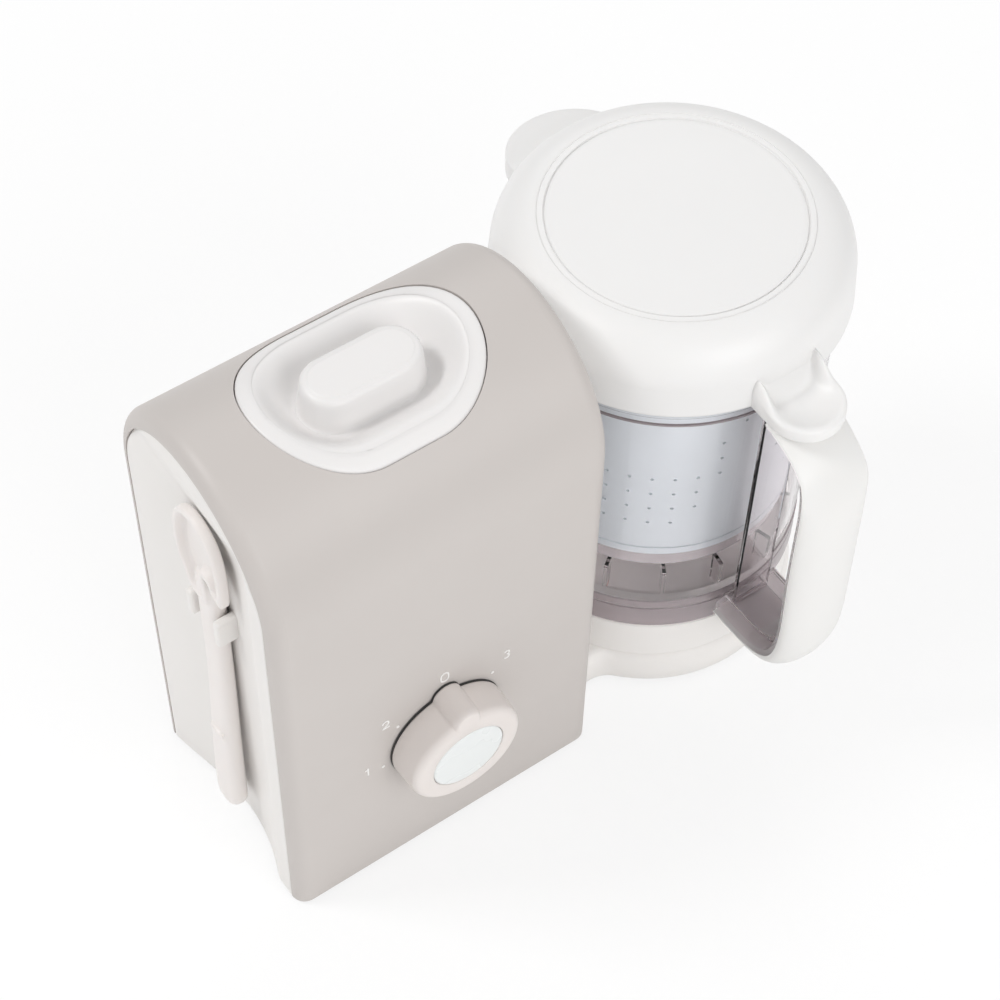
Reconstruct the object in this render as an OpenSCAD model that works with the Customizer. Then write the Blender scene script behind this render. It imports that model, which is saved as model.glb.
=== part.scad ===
// Baby food maker: a steaming and blending jug beside an upright housing.
// Frame: origin on the table at the centre of the plan, +X to the jug, -Y to the front, +Z up.

/* [Housing] */
// Width of the housing, left to right
body_w = 143; // [136:1:150]
// Depth of the housing, front to back
body_d = 104; // [100:1:108]
// Height of the housing above its feet
body_h = 243; // [238:1:250]
// Radius of the rounded rim around each side
rim_r = 6.2; // [5:0.1:7]
// Wall of the housing and its side panels
wall = 2.6; // [2.2:0.1:3]
// Height of the rubber feet
foot_h = 2; // [1.5:0.1:3]

/* [Spatula recess] */
// Depth of the recess at the bottom
scoop_depth = 8; // [7:0.1:9]
// Width of the recess, front to back
scoop_w = 84; // [78:1:86]
// Height at which the recess runs out
scoop_h = 226; // [215:1:230]

/* [Tank lid] */
// Length of the tank lid, left to right
tank_lid_l = 90; // [86:1:94]
// Width of the tank lid, front to back
tank_lid_w = 68; // [64:1:70]
// Depth of its dish below the top of the housing
dish_depth = 16; // [14:0.5:17]
// Width of the flange round the dish
flange_w = 8; // [6:0.5:9]
// Length of the grip
grip_l = 46; // [40:1:50]
// Width of the grip
grip_w = 22; // [18:1:24]

/* [Control knob] */
// Diameter of the knob
knob_d = 50.4; // [46:0.2:54]
// How far the knob stands out from the wall
knob_h = 16.5; // [14:0.5:20]
// Height of the knob's centre above the feet
knob_z = 75; // [70:1:80]
// Sideways place of the knob from the middle of the housing
knob_dx = -1.3; // [-5:0.1:5]
// Radius of the pointer lug
lug_r = 6.2; // [5:0.1:7]
// Diameter of the inset disc
disc_d = 32; // [28:0.5:34]
// Diameter of the switch shaft
shaft_d = 6; // [5:0.5:7]

/* [Base] */
// Height of the base plate above the feet
plate_h = 17.4; // [16:0.1:20]
// Radius of the plate under the jug
plate_r = 64.4; // [64:0.1:68]
// Width of the bridge to the housing
bridge_w = 80; // [70:1:84]
// Height of the jug seat above the feet
seat_h = 39.3; // [37:0.1:42]
// Radius of the jug seat
seat_r = 62.5; // [61:0.1:63.5]

/* [Jug] */
// Distance from the right side of the housing to the jug's axis
jug_away = 72.4; // [71:0.1:79]
// Distance from the front of the housing to the jug's axis
jug_dy = 60; // [56:1:64]
// Outer radius of the jug's foot
foot_r = 62.8; // [62:0.1:64]
// Outer radius of the jug's rim
rim_out_r = 66.2; // [65:0.1:67]
// Wall of the jug
jug_wall = 2.4; // [2:0.1:2.8]
// How far the jug's rim lies below the top of the housing
rim_drop = 47.7; // [45.7:0.1:51.7]
// Height of the jug's floor above its foot
jug_floor_h = 19; // [17:0.5:21]
// Number of ribs round the inside of the floor
rib_count = 16; // [8:1:20]
// Height of the ribs
rib_h = 16.5; // [14:0.5:18]
// Reach of the pouring spout from the jug's axis
spout_reach = 80; // [76:1:82]

/* [Handle] */
// Width of the handle
handle_w = 32; // [28:1:36]
// Reach of the handle from the jug's axis
handle_reach = 111; // [108:1:115]
// Thickness of the grip, front to back
handle_t = 10.2; // [9.5:0.1:12]
// Radius of the grip's rounded outer edges
handle_edge_r = 14; // [10:0.5:15]
// Wall of the grip
handle_wall = 2.6; // [2.2:0.1:3]
// Radius of the finger opening's upper outer corner
window_top_r = 25; // [18:1:25]
// Radius of the finger opening's lower outer corner
window_low_r = 13; // [10:1:16]

/* [Lid] */
// Radius of the lid at its lower edge
lid_r = 70.3; // [69.5:0.1:72]
// Height of the lid, edge to top
lid_h = 32.5; // [30:0.5:34]
// Radius of the rounded shoulder
shoulder_r = 19.5; // [17:0.5:20]
// Radius of the top disc
lid_disc_r = 49.2; // [46:0.1:49.2]
// Wall of the lid
lid_wall = 2.4; // [2:0.1:2.8]
// Radius of the pouring hood
hood_r = 25; // [22:0.5:26]
// Reach of the pouring hood from the jug's axis
hood_reach = 91; // [88:0.5:94]
// Width of the thumb paddle
paddle_w = 31; // [28:0.5:32]
// Reach of the thumb paddle from the jug's axis
paddle_reach = 96; // [94:0.5:98]

/* [Steam basket] */
// Outer radius of the basket's wall
basket_r = 56.5; // [54:0.1:57]
// Wall of the basket
basket_wall = 1.8; // [1.5:0.1:2.2]
// How far the basket's rim lies below the jug's rim
basket_drop = 14.2; // [10.2:0.1:22.2]
// Height of the foot ring
basket_foot_h = 12.5; // [11:0.5:14]
// Diameter of the steam holes
hole_d = 3; // [2.5:0.1:3.6]

/* [Blades] */
// Radius swept by the blades
blade_r = 42; // [36:1:46]
// Width of a blade
blade_w = 11; // [9:0.5:13]
// Thickness of a blade
blade_t = 1.2; // [1:0.1:1.6]
// Radius of the blade hub
hub_r = 11; // [10:0.5:12.5]

/* [Spatula] */
// Length of the spatula
spat_l = 197; // [192:1:198]
// Width of the head
head_w = 31; // [28:1:33]
// Length of the head
head_l = 46; // [40:1:50]
// Thickness of the head
head_t = 4.6; // [3.8:0.1:4.8]
// Width of the handle at its lower end
spat_w = 15; // [13:0.5:16]
// Width of the handle where the clips hold it
spat_neck_w = 13.5; // [12:0.5:14]
// Thickness of the handle
spat_t = 9; // [7.5:0.1:9.5]

/* [Drive] */
// Radius of the motor
motor_r = 27; // [24:0.5:28]
// Height of the motor
motor_h = 74; // [66:1:80]
// Radius of the motor pulley
pulley_r = 8; // [7:0.5:9]
// Radius of the driven pulley
driven_r = 24; // [20:0.5:27]
// Width of the belt
belt_w = 6; // [5:0.5:7]
// Thickness of the belt
belt_t = 1.6; // [1.2:0.1:2]
// Diameter of the drive shaft and the blade shaft
spindle_d = 8; // [6:0.5:9]

/* [Boiler] */
// Length of the tank, left to right
tank_l = 74; // [68:1:76]
// Width of the tank, front to back
tank_w = 52; // [48:1:54]
// Height of the tank
tank_h = 70; // [64:1:74]
// Wall of the tank
tank_wall = 1.2; // [1:0.1:1.5]
// How far the steam outlet lies below the top of the housing
steam_drop = 46; // [44:0.5:49]

/* [Clearances] */
// Gap between pieces that lift or slide apart
gap = 0.3; // [0.25:0.05:0.4]
// Seam between fixed outer pieces
seam = 0.15; // [0.1:0.05:0.25]
// Running clearance of a shaft, on the radius
run = 0.05; // [0.03:0.01:0.1]

/* [Hidden] */
$fn = 96;
eps = 0.01;

// Places in plan: the whole machine is centred on the origin
spat_gap = 0.5;
spat_proud = spat_t + spat_gap - scoop_depth * 0.8;
left_x = -(spat_proud + body_w + jug_away + lid_r) / 2 + spat_proud;
jug_x = left_x + body_w + jug_away;
jug_y = (handle_reach - hood_reach) / 2;
front_y = jug_y - jug_dy;
right_x = left_x + body_w;
body_x = left_x + body_w / 2;
body_y = front_y + body_d / 2;

// Levels above the table
base_z = foot_h;
top_z = base_z + body_h;
arch_r = body_d / 2;
arch_z = top_z - arch_r;
plate_z = base_z + plate_h;
seat_z = base_z + seat_h;
cover_t = 2.5;
deck_t = 2.5;

// Jug levels, measured from the seat that it stands on
floor_z = seat_z + jug_floor_h;
floor_t = 2.5;
rim_z = top_z - rim_drop;
lid_over = 6;
lid_z = rim_z - lid_over;
lid_top = lid_z + lid_h;

// Finger opening, as distances out from the jug's axis and heights
liner_t = 2.4;
window_in = foot_r + 8.5;
window_out = handle_reach - handle_t - liner_t;
window_low = floor_z - 2;
window_high = lid_z - 11;

// Drive line
belt_z = base_z + cover_t + 2.5;
motor_x = body_x;
motor_y = body_y + 12;
motor_z = plate_z + 6;
belt_len = norm([jug_x - motor_x, jug_y - motor_y]);
belt_angle = atan2(jug_y - motor_y, jug_x - motor_x);
boss_r = spindle_d / 2 + 9;
coupling_r = 15;
coupling_z = seat_z + 2;

// Tank levels
// Height of the housing's top above the tank's rim
tank_rise = 21;
tank_seat_z = top_z - tank_rise;
tank_z = tank_seat_z - tank_h;
steam_z = top_z - steam_drop;
skirt_inset = 3;

// Knob
knob_x = body_x + knob_dx;
knob_cz = base_z + knob_z;
wall_gap = 0.8;
lug_out = knob_d / 2 - 1.2;

// ---------- shared shapes ----------

// Points along an arc, for polygon outlines
function arc_pts(cx, cy, r, a0, a1, n = 12) =
    [for (i = [0 : n]) let (a = a0 + (a1 - a0) * i / n) [cx + r * cos(a), cy + r * sin(a)]];

module rounded_rect(w, d, r) {
    square([w - 2 * r, d], center = true);
    square([w, d - 2 * r], center = true);
    for (x = [-1, 1], y = [-1, 1]) translate([x * (w / 2 - r), y * (d / 2 - r)]) circle(r);
}

module stadium(l, w) {
    square([l - w, w], center = true);
    for (x = [-1, 1]) translate([x * (l - w) / 2, 0]) circle(w / 2);
}

module ring(r_out, r_in, h) {
    difference() {
        cylinder(r = r_out, h = h);
        translate([0, 0, -1]) cylinder(r = r_in, h = h + 2);
    }
}

module at_jug(z = 0) { translate([jug_x, jug_y, z]) children(); }

module at_motor(z = 0) { translate([motor_x, motor_y, z]) children(); }

module at_tank(z = 0) { translate([body_x, body_y, z]) children(); }

// Knob frame: local z points out of the front wall, local y points up
module at_knob(out = 0) { translate([knob_x, front_y - out, knob_cz]) rotate([90, 0, 0]) children(); }

// Handle frame: a 2D outline of (distance out, height) made into a slab of the given width
module handle_slab(w) {
    translate([jug_x + w / 2, jug_y, 0]) rotate([90, 0, -90]) linear_extrude(w) children();
}

// Arch outline of the housing in (depth, height), set in from the outside
module arch_face(inset, low) {
    translate([inset - arch_r, low]) square([body_d - 2 * inset, arch_z - low]);
    intersection() {
        translate([0, arch_z]) circle(arch_r - inset);
        translate([-body_d, arch_z - eps]) square([2 * body_d, body_d]);
    }
}

module arch_prism(x0, x1, inset, low) {
    translate([x0, body_y, 0]) rotate([90, 0, 90]) linear_extrude(x1 - x0) arch_face(inset, low);
}

// Housing block with rounded rims, set in from the outside
module body_block(inset, r, low) {
    half_w = body_w / 2 - inset;
    cyl_r = arch_r - inset;
    translate([body_x, body_y, low]) linear_extrude(arch_z - low) rounded_rect(2 * half_w, 2 * cyl_r, r);
    translate([body_x, body_y, arch_z]) intersection() {
        rotate([0, 90, 0]) rotate_extrude() intersection() {
            rounded_rect(2 * cyl_r, 2 * half_w, r);
            translate([0, -half_w]) square([cyl_r, 2 * half_w]);
        }
        translate([-body_w, -body_d, 0]) cube([2 * body_w, 2 * body_d, body_d]);
    }
}

// Recess section in (depth, distance back): steeper towards the front
scoop_front = 15;
scoop_steps = 24;
scoop_lip = 0.4;
function scoop_curve(t) = pow(sin(180 * pow(t, 0.8)), 1.1);
function scoop_pts(extra) = let (
        d = scoop_depth + scoop_lip + extra,
        w = scoop_w + 2 * extra,
        y0 = scoop_front - extra)
    concat(
        [[-20, y0]],
        [for (i = [0 : scoop_steps]) [d * scoop_curve(i / scoop_steps), y0 + w * i / scoop_steps]],
        [[-20, y0 + w]]);

// The recess runs out along a wide arc towards the top and is open below it
fade_z = 150;
fade_depth = scoop_depth + 4;
fade_r = (pow(scoop_h - fade_z, 2) + pow(fade_depth, 2)) / (2 * fade_depth);
fade_back = body_d + 10;

module scoop(extra) {
    intersection() {
        translate([left_x, front_y, base_z - 10]) linear_extrude(scoop_h + 20) polygon(scoop_pts(extra));
        union() {
            translate([left_x + fade_depth - fade_r, front_y + body_d + 5, base_z + fade_z])
                rotate([90, 0, 0]) cylinder(r = fade_r + extra, h = fade_back, $fn = 720);
            translate([left_x - 30, front_y - 5, base_z - 20])
                cube([29 + fade_depth + extra, fade_back, fade_z + 20]);
        }
    }
}

rib_t = 3.6;
rib_proud = 1.8;
rib_low = 20;

// Side plate with a stiffening rib round its inner face
module side_plate(x0, x1, rib_x0, rib_x1) {
    arch_prism(x0, x1, rim_r + seam, base_z);
    difference() {
        arch_prism(rib_x0, rib_x1, rim_r + seam, base_z + rib_low);
        arch_prism(rib_x0 - 1, rib_x1 + 1, rim_r + seam + rib_t, base_z + rib_low - 1);
    }
}

// Room for the bridge of the base under the right side of the housing
module bridge_notch() {
    translate([right_x - 20, jug_y - bridge_w / 2 - seam, base_z - 1])
        cube([40, bridge_w + 2 * seam, plate_h + seam + 1]);
}

module gland_place(off) {
    translate([gland_x, front_y + body_d + off, gland_z]) rotate([-90, 0, 0]) children();
}

// ---------- housing ----------

module housing_shell() color([0.79, 0.77, 0.755]) difference() {
    body_block(0, rim_r, base_z);
    body_block(wall, rim_r - wall, base_z - 5);
    arch_prism(left_x - 1, right_x + 1, rim_r, base_z - 5);
    at_tank(arch_z) linear_extrude(arch_r + 5) stadium(tank_lid_l + 2 * gap, tank_lid_w + 2 * gap);
    at_knob(-wall - 1) cylinder(d = shaft_d + 3, h = wall + 5);
    gland_place(-wall - 1) cylinder(r = gland_r, h = wall + 5);
    bridge_notch();
}

clip_z = base_z + 149;
clip_h = 14;
clip_w = 3.9;
clip_span = 15.2;
clip_proud = 2;

module left_side_panel() color([0.95, 0.945, 0.93]) {
    difference() {
        union() {
            side_plate(left_x, left_x + wall, left_x + wall - eps, left_x + wall + rib_proud);
            intersection() {
                scoop(wall);
                arch_prism(left_x, left_x + scoop_depth + 2 * wall, rim_r + seam, base_z);
            }
        }
        scoop(0);
    }
    for (s = [-1, 1]) spat_clip(s);
}

// One clip prong beside the spatula's handle, front (-1) or back (+1), rooted in the recess wall
module spat_clip(side) {
    y = spat_y + side * (clip_span + clip_w) / 2;
    z = clip_z - side;
    intersection() {
        translate([left_x - clip_proud, y - clip_w / 2, z - clip_h / 2]) cube([20, clip_w, clip_h]);
        scoop(wall / 2);
    }
}

module right_side_panel() color([0.95, 0.945, 0.93]) difference() {
    side_plate(right_x - wall, right_x, right_x - wall - rib_proud, right_x - wall + eps);
    bridge_notch();
    translate([right_x - 10, jug_y, steam_z]) rotate([0, 90, 0]) cylinder(r = outlet_r, h = 20);
}

gland_x = body_x + 40;
gland_z = base_z + 34;
gland_r = 7;

module cable_gland() color([0.2, 0.2, 0.2])
    gland_place(0) difference() {
        union() {
            translate([0, 0, -wall]) cylinder(r = gland_r, h = wall + eps);
            cylinder(r = gland_r + 2, h = 2);
            translate([0, 0, -wall - 2.5]) cylinder(r = gland_r + 2, h = 2.5);
        }
        translate([0, 0, -10]) cylinder(r = 3.2, h = 20);
    }

// ---------- base ----------

tray_left = left_x + wall + seam;
tray_right = right_x - wall - seam;
tray_in_d = body_d - 2 * wall - 2 * seam;

// Outline of the tray, set in for its cavity
module tray_outline(inset) {
    difference() {
        translate([(tray_left + tray_right) / 2, body_y])
            rounded_rect(tray_right - tray_left - 2 * inset, tray_in_d - 2 * inset, rim_r - wall);
        translate([left_x, front_y]) polygon(scoop_pts(wall + seam + inset));
    }
    translate([right_x - 20, jug_y - bridge_w / 2 + inset])
        square([jug_x - right_x + 20, bridge_w - 2 * inset]);
    translate([jug_x, jug_y]) circle(plate_r - inset);
}

screw_inset = 9;
screw_spots = [
    [tray_left + screw_inset + 4, body_y - tray_in_d / 2 + screw_inset],
    [tray_left + screw_inset + 4, body_y + tray_in_d / 2 - screw_inset],
    [tray_right - screw_inset - 6, body_y - tray_in_d / 2 + screw_inset],
    [tray_right - screw_inset - 6, body_y + tray_in_d / 2 - screw_inset],
    [jug_x + (plate_r - screw_inset) * cos(50), jug_y + (plate_r - screw_inset) * sin(50)],
    [jug_x + (plate_r - screw_inset) * cos(-50), jug_y + (plate_r - screw_inset) * sin(-50)]
];
screw_r = 1.5;

module base_tray() color([0.93, 0.92, 0.905]) {
    difference() {
        translate([0, 0, base_z]) linear_extrude(plate_h) tray_outline(0);
        translate([0, 0, base_z - 1]) linear_extrude(plate_h - deck_t + 1) tray_outline(wall);
        at_jug(base_z) cylinder(r = boss_r + gap, h = plate_h + 1);
        at_motor(base_z) cylinder(r = 9, h = plate_h + 1);
    }
    for (p = screw_spots) translate([p[0], p[1], base_z + cover_t])
        ring(4, screw_r, plate_h - deck_t - cover_t + eps);
}

module jug_seat() color([0.93, 0.92, 0.905]) at_jug() difference() {
    union() {
        rotate_extrude() polygon(concat(
            [[0, seat_z - deck_t], [seat_r - wall, seat_z - deck_t]],
            [[seat_r - wall, plate_z], [seat_r, plate_z]],
            [[seat_r, seat_z - 1.5], [seat_r - 1.5, seat_z], [0, seat_z]]));
        translate([0, 0, seat_z - eps]) ring(foot_r - jug_wall - gap, foot_r - jug_wall - gap - 2.4, 4);
        translate([0, 0, plate_z]) cylinder(r = boss_r, h = seat_z - plate_z);
        for (a = [45 : 90 : 359]) rotate(a) translate([boss_r - 1, -1, plate_z])
            cube([seat_r - wall - boss_r + 1, 2, seat_z - plate_z - 1]);
    }
    translate([0, 0, plate_z - 1]) cylinder(r = bearing_r, h = seat_z - plate_z + 2);
    translate([plunger_x - jug_x, 0, plate_z]) cylinder(r = plunger_r + gap, h = seat_z - plate_z + 1);
}

module bottom_cover() color([0.55, 0.54, 0.53]) difference() {
    translate([0, 0, base_z]) linear_extrude(cover_t) tray_outline(wall + seam);
    for (p = screw_spots) translate([p[0], p[1], base_z - 1]) cylinder(r = screw_r + 0.2, h = cover_t + 2);
    for (p = screw_spots) translate([p[0], p[1], base_z - 1]) cylinder(r = 3.2, h = 2.5);
}

module cover_screws() color([0.75, 0.75, 0.76])
    for (p = screw_spots) translate([p[0], p[1], base_z + 0.3]) {
        cylinder(r = 2.9, h = 1.2);
        translate([0, 0, 1.2 - eps]) cylinder(r = screw_r, h = 10);
    }

foot_r_out = 7;
foot_spots = concat(
    [for (x = [tray_left + 28, tray_right - 26], y = [-1, 1]) [x, body_y + y * (tray_in_d / 2 - 14)]],
    [for (a = [-25, 25]) [jug_x + (plate_r - 14) * cos(a), jug_y + (plate_r - 14) * sin(a)]]);

module rubber_feet() color([0.25, 0.25, 0.25])
    for (p = foot_spots) translate([p[0], p[1], 0]) cylinder(r = foot_r_out, h = foot_h);

// ---------- tank ----------

// Long cylinder of the arch, set in from its outside
module arch_cap(inset) {
    translate([body_x - body_w, body_y, arch_z]) rotate([0, 90, 0])
        cylinder(r = arch_r - inset, h = 2 * body_w);
}

tank_in_l = tank_l - 2 * tank_wall;
tank_in_w = tank_w - 2 * tank_wall;
seal_w = 3;
skirt_w = 4;
// Underside of the lid's dish above the tank's rim
skirt_h = tank_rise - dish_depth - lid_wall;

// Outline just inside the tank's mouth, smaller by `less`
module tank_inside(less) {
    stadium(tank_in_l - 2 * gap - less, tank_in_w - 2 * gap - less);
}

module tank_lid() color([0.945, 0.94, 0.93]) {
    difference() {
        intersection() {
            at_tank(tank_seat_z) linear_extrude(40) stadium(tank_lid_l, tank_lid_w);
            arch_cap(0.1);
        }
        at_tank(top_z - dish_depth) linear_extrude(40)
            stadium(tank_lid_l - 2 * flange_w, tank_lid_w - 2 * flange_w);
        at_tank(tank_seat_z - 1) linear_extrude(skirt_h + 1)
            stadium(tank_lid_l - 2 * skirt_inset, tank_lid_w - 2 * skirt_inset);
    }
    at_tank(top_z - dish_depth - eps) {
        linear_extrude(dish_depth - 0.6) stadium(grip_l, grip_w);
        linear_extrude(1.5) stadium(grip_l + 6, grip_w + 6);
    }
    at_tank(tank_seat_z - 3) linear_extrude(skirt_h + 3 + eps) difference() {
        tank_inside(seal_w);
        tank_inside(seal_w + skirt_w);
    }
}

module tank_lid_seal() color([0.85, 0.85, 0.86])
    at_tank(tank_seat_z - 3) linear_extrude(2.5) difference() {
        tank_inside(0);
        tank_inside(seal_w);
    }

tank_port_x = body_x + (tank_l - tank_w) / 2 + sqrt(pow(tank_w / 2, 2) - pow(jug_y - body_y, 2));
port_r = 3;

module boiler_tank() color([0.78, 0.78, 0.79]) difference() {
    union() {
        at_tank(tank_z) linear_extrude(tank_h) stadium(tank_l, tank_w);
        at_tank(tank_seat_z - 1.2) linear_extrude(1.2) stadium(tank_lid_l - 1, tank_lid_w - 1);
        translate([tank_port_x - 2, jug_y, steam_z]) rotate([0, 90, 0]) cylinder(r = port_r, h = 9);
    }
    at_tank(tank_z + tank_wall) linear_extrude(tank_h + 5) stadium(tank_in_l, tank_in_w);
    translate([tank_port_x - 6, jug_y, steam_z]) rotate([0, 90, 0]) cylinder(r = port_r - 1, h = 20);
}

module heating_element() color([0.6, 0.58, 0.55]) at_tank(tank_z - 7) {
    linear_extrude(7) difference() {
        stadium(tank_l - 10, tank_w - 10);
        stadium(tank_l - 26, tank_w - 26);
    }
    for (x = [-1, 1]) translate([x * 6, -(tank_w - 18) / 2, -8]) cylinder(r = 1.5, h = 8 + eps);
}

module thermostats() color([0.8, 0.8, 0.78]) at_tank(tank_z - 6)
    for (x = [-1, 1]) translate([x * 11, 0, 0]) cylinder(r = 7, h = 6);

outlet_r = 8;
tube_r = 5;
steam_tube_end = right_x - wall - 4;

module steam_tube() color([0.88, 0.87, 0.85])
    translate([tank_port_x + 1.5, jug_y, steam_z]) rotate([0, 90, 0])
        ring(tube_r, port_r, steam_tube_end - tank_port_x - 1.5);

module steam_outlet() color([0.93, 0.92, 0.91])
    translate([right_x, jug_y, steam_z]) rotate([0, 90, 0]) difference() {
        union() {
            translate([0, 0, -wall - 2]) cylinder(r = outlet_r + 3, h = 2);
            translate([0, 0, -wall - 1]) cylinder(r = outlet_r, h = wall + 1);
            translate([0, 0, -wall - 4 - 5]) cylinder(r = port_r, h = 8);
        }
        translate([0, 0, -20]) cylinder(r = port_r - 1, h = 30);
        translate([0, 0, -1.5]) cylinder(r = outlet_r - 2, h = 5);
    }

module steam_outlet_seal() color([0.85, 0.85, 0.86])
    translate([right_x - 1.5, jug_y, steam_z]) rotate([0, 90, 0])
        ring(outlet_r - 2, port_r, jug_away - lid_r - gap + 1.5);

// ---------- frame and motor ----------

frame_l = 104;
frame_d = 84;
frame_z = tank_z + 4;
post_r = 4;

module inner_frame() color([0.7, 0.69, 0.68]) {
    difference() {
        at_tank(frame_z) linear_extrude(3) rounded_rect(frame_l, frame_d, 8);
        at_tank(frame_z - 1) linear_extrude(5) stadium(tank_l + seam, tank_w + seam);
    }
    for (x = [-1, 1], y = [-1, 1])
            translate([body_x + x * (frame_l / 2 - 6), body_y + y * (frame_d / 2 - 6), 0]) {
        translate([0, 0, plate_z]) cylinder(r = post_r, h = frame_z - plate_z + eps);
    }
    at_tank(frame_z + 3 - eps) linear_extrude(tank_seat_z - 1.2 - frame_z - 3 + eps) difference() {
        stadium(tank_l + 6, tank_w + 6);
        stadium(tank_l + seam, tank_w + seam);
        translate([tank_l / 2 - 25, jug_y - body_y - tube_r - 1]) square([60, 2 * tube_r + 2]);
    }
}

module motor_can() color([0.62, 0.62, 0.63]) at_motor(motor_z) {
    difference() {
        cylinder(r = motor_r, h = motor_h - 8);
        translate([0, 0, 2]) cylinder(r = motor_r - 1.6, h = motor_h);
        translate([0, 0, -1]) cylinder(r = motor_bearing_r, h = 5);
        for (a = [0 : 60 : 359]) rotate(a) translate([motor_r - 5, -3, 12]) cube([10, 6, 30]);
    }
    for (a = [45 : 90 : 359]) rotate(a) translate([motor_r - 6, 0, plate_z - motor_z])
        cylinder(r = 3, h = motor_z - plate_z + eps);
}

motor_bearing_r = 6.5;
motor_shaft_r = 2.5;

module motor_end_cap() color([0.3, 0.3, 0.31]) at_motor(motor_z + motor_h - 8) difference() {
    cylinder(r = motor_r, h = 8);
    translate([0, 0, -1]) cylinder(r = motor_r - 2, h = 6);
    translate([0, 0, 3]) cylinder(r = motor_bearing_r, h = 8);
}

module armature() color([0.72, 0.45, 0.25])
    at_motor(motor_z + 18) ring(motor_r - 6, motor_shaft_r, motor_h - 40);

module motor_shaft() color([0.75, 0.75, 0.76])
    at_motor(belt_z - 1) cylinder(r = motor_shaft_r, h = motor_z + motor_h - 1 - belt_z);

module motor_bearings() color([0.7, 0.7, 0.71]) {
    at_motor(motor_z - 2) ring(motor_bearing_r, motor_shaft_r + run, 4);
    at_motor(motor_z + motor_h - 5) ring(motor_bearing_r, motor_shaft_r + run, 4);
}

module cooling_fan() color([0.35, 0.35, 0.36]) at_motor(motor_z + 6) {
    ring(6, motor_shaft_r, 8);
    for (a = [0 : 45 : 359]) rotate(a) translate([5, -0.6, 0]) cube([motor_r - 10, 1.2, 8]);
}

module pulley(r, bore) {
    ring(r, bore, belt_w + 1);
    for (z = [-1.2, belt_w + 1]) translate([0, 0, z]) ring(r + belt_t + 1, bore, 1.2);
}

module motor_pulley() color([0.3, 0.3, 0.31]) at_motor(belt_z) pulley(pulley_r, motor_shaft_r);

module driven_pulley() color([0.85, 0.84, 0.82]) at_jug(belt_z) pulley(driven_r, spindle_d / 2);

// Belt outline round both pulleys, in a frame with x along the line of centres
function belt_pts(extra) = let (
        r1 = pulley_r + gap + extra,
        r2 = driven_r + gap + extra,
        tilt = asin((r2 - r1) / belt_len))
    concat(arc_pts(0, 0, r1, 90 + tilt, 270 - tilt, 16), arc_pts(belt_len, 0, r2, -90 - tilt, 90 + tilt, 24));

module drive_belt() color([0.15, 0.15, 0.15]) at_motor(belt_z + 0.5) rotate(belt_angle)
    linear_extrude(belt_w) difference() {
        polygon(belt_pts(belt_t));
        polygon(belt_pts(0));
    }

bearing_r = spindle_d / 2 + 4;

module drive_shaft() color([0.75, 0.75, 0.76])
    at_jug(belt_z - 1.2) cylinder(d = spindle_d, h = coupling_z + 6.2 - belt_z);

module drive_bearings() color([0.7, 0.7, 0.71])
    for (z = [plate_z, seat_z - 6]) at_jug(z) ring(bearing_r, spindle_d / 2 + run, 6);

// Six-lobed driver: male on the machine, female under the jug
module lobes(r, lobe_r) {
    circle(r - lobe_r);
    for (a = [0 : 60 : 359]) rotate(a) translate([r - lobe_r, 0]) circle(lobe_r);
}

coupling_h = 8;

module drive_coupling() color([0.2, 0.2, 0.21]) at_jug(coupling_z) difference() {
    linear_extrude(coupling_h) lobes(coupling_r - 4, 2.5);
    translate([0, 0, -1]) cylinder(d = spindle_d, h = 6);
}

// ---------- controls ----------

hub_boss_r = shaft_d / 2 + 3;
face_t = 5;

module control_knob() color([0.89, 0.86, 0.845]) at_knob(wall_gap) difference() {
    union() {
        rotate_extrude() polygon(concat(
            [[0, 0], [knob_d / 2, 0]],
            arc_pts(knob_d / 2 - 4.8, knob_h - wall_gap - 4, 4, 0, 90, 8),
            [[0, knob_h - wall_gap]]));
        translate([0, lug_out, 0]) cylinder(r = lug_r, h = knob_h - wall_gap - 1);
    }
    translate([0, 0, knob_h - wall_gap - 1.6]) cylinder(d = disc_d + 2 * seam, h = 5);
    translate([0, 0, -1]) ring(knob_d / 2 - 3, hub_boss_r, knob_h - wall_gap - face_t + 1);
    translate([0, 0, -1]) cylinder(d = shaft_d, h = knob_h - wall_gap - 2.5);
}

module knob_disc() color([0.92, 0.93, 0.93]) at_knob(knob_h - 1.6) cylinder(d = disc_d, h = 1.8);

module knob_shaft() color([0.8, 0.8, 0.8])
    at_knob(-wall - 12) cylinder(d = shaft_d, h = wall + 12 + knob_h - 3.5);

module rotary_switch() color([0.25, 0.25, 0.26]) at_knob(-wall - 18) difference() {
    union() {
        cylinder(r = 16, h = 16);
        translate([-20, -5, 14]) cube([40, 10, 4]);
    }
    translate([0, 0, 5]) cylinder(d = shaft_d + 2 * run, h = 20);
}

mark_t = 0.25;
mark_r = 36;

// Ring section of a stroke, between two angles
module stroke_arc(r, w, a0, a1) {
    polygon(concat(arc_pts(0, 0, r + w / 2, a0, a1, 8), arc_pts(0, 0, r - w / 2, a1, a0, 8)));
}

// Figures of the dial, drawn from strokes of one width
stroke = 0.6;

module figure_zero() {
    stroke_arc(1.7, stroke, 0, 180);
    translate([0, -2]) stroke_arc(1.7, stroke, 180, 360);
    for (x = [-1, 1]) translate([x * 1.7 - stroke / 2, -2]) square([stroke, 2]);
}

module figure_one() {
    square([stroke, 5]);
    translate([-1, 3.6]) square([1.2, stroke]);
}

module figure_two() {
    translate([0, 3.4]) stroke_arc(1.4, stroke, -40, 180);
    polygon([[0.9, 2.7], [1.4, 2.3], [-0.8, 0.3], [-1.6, 0.3]]);
    translate([-1.6, 0]) square([3.4, stroke]);
}

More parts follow.
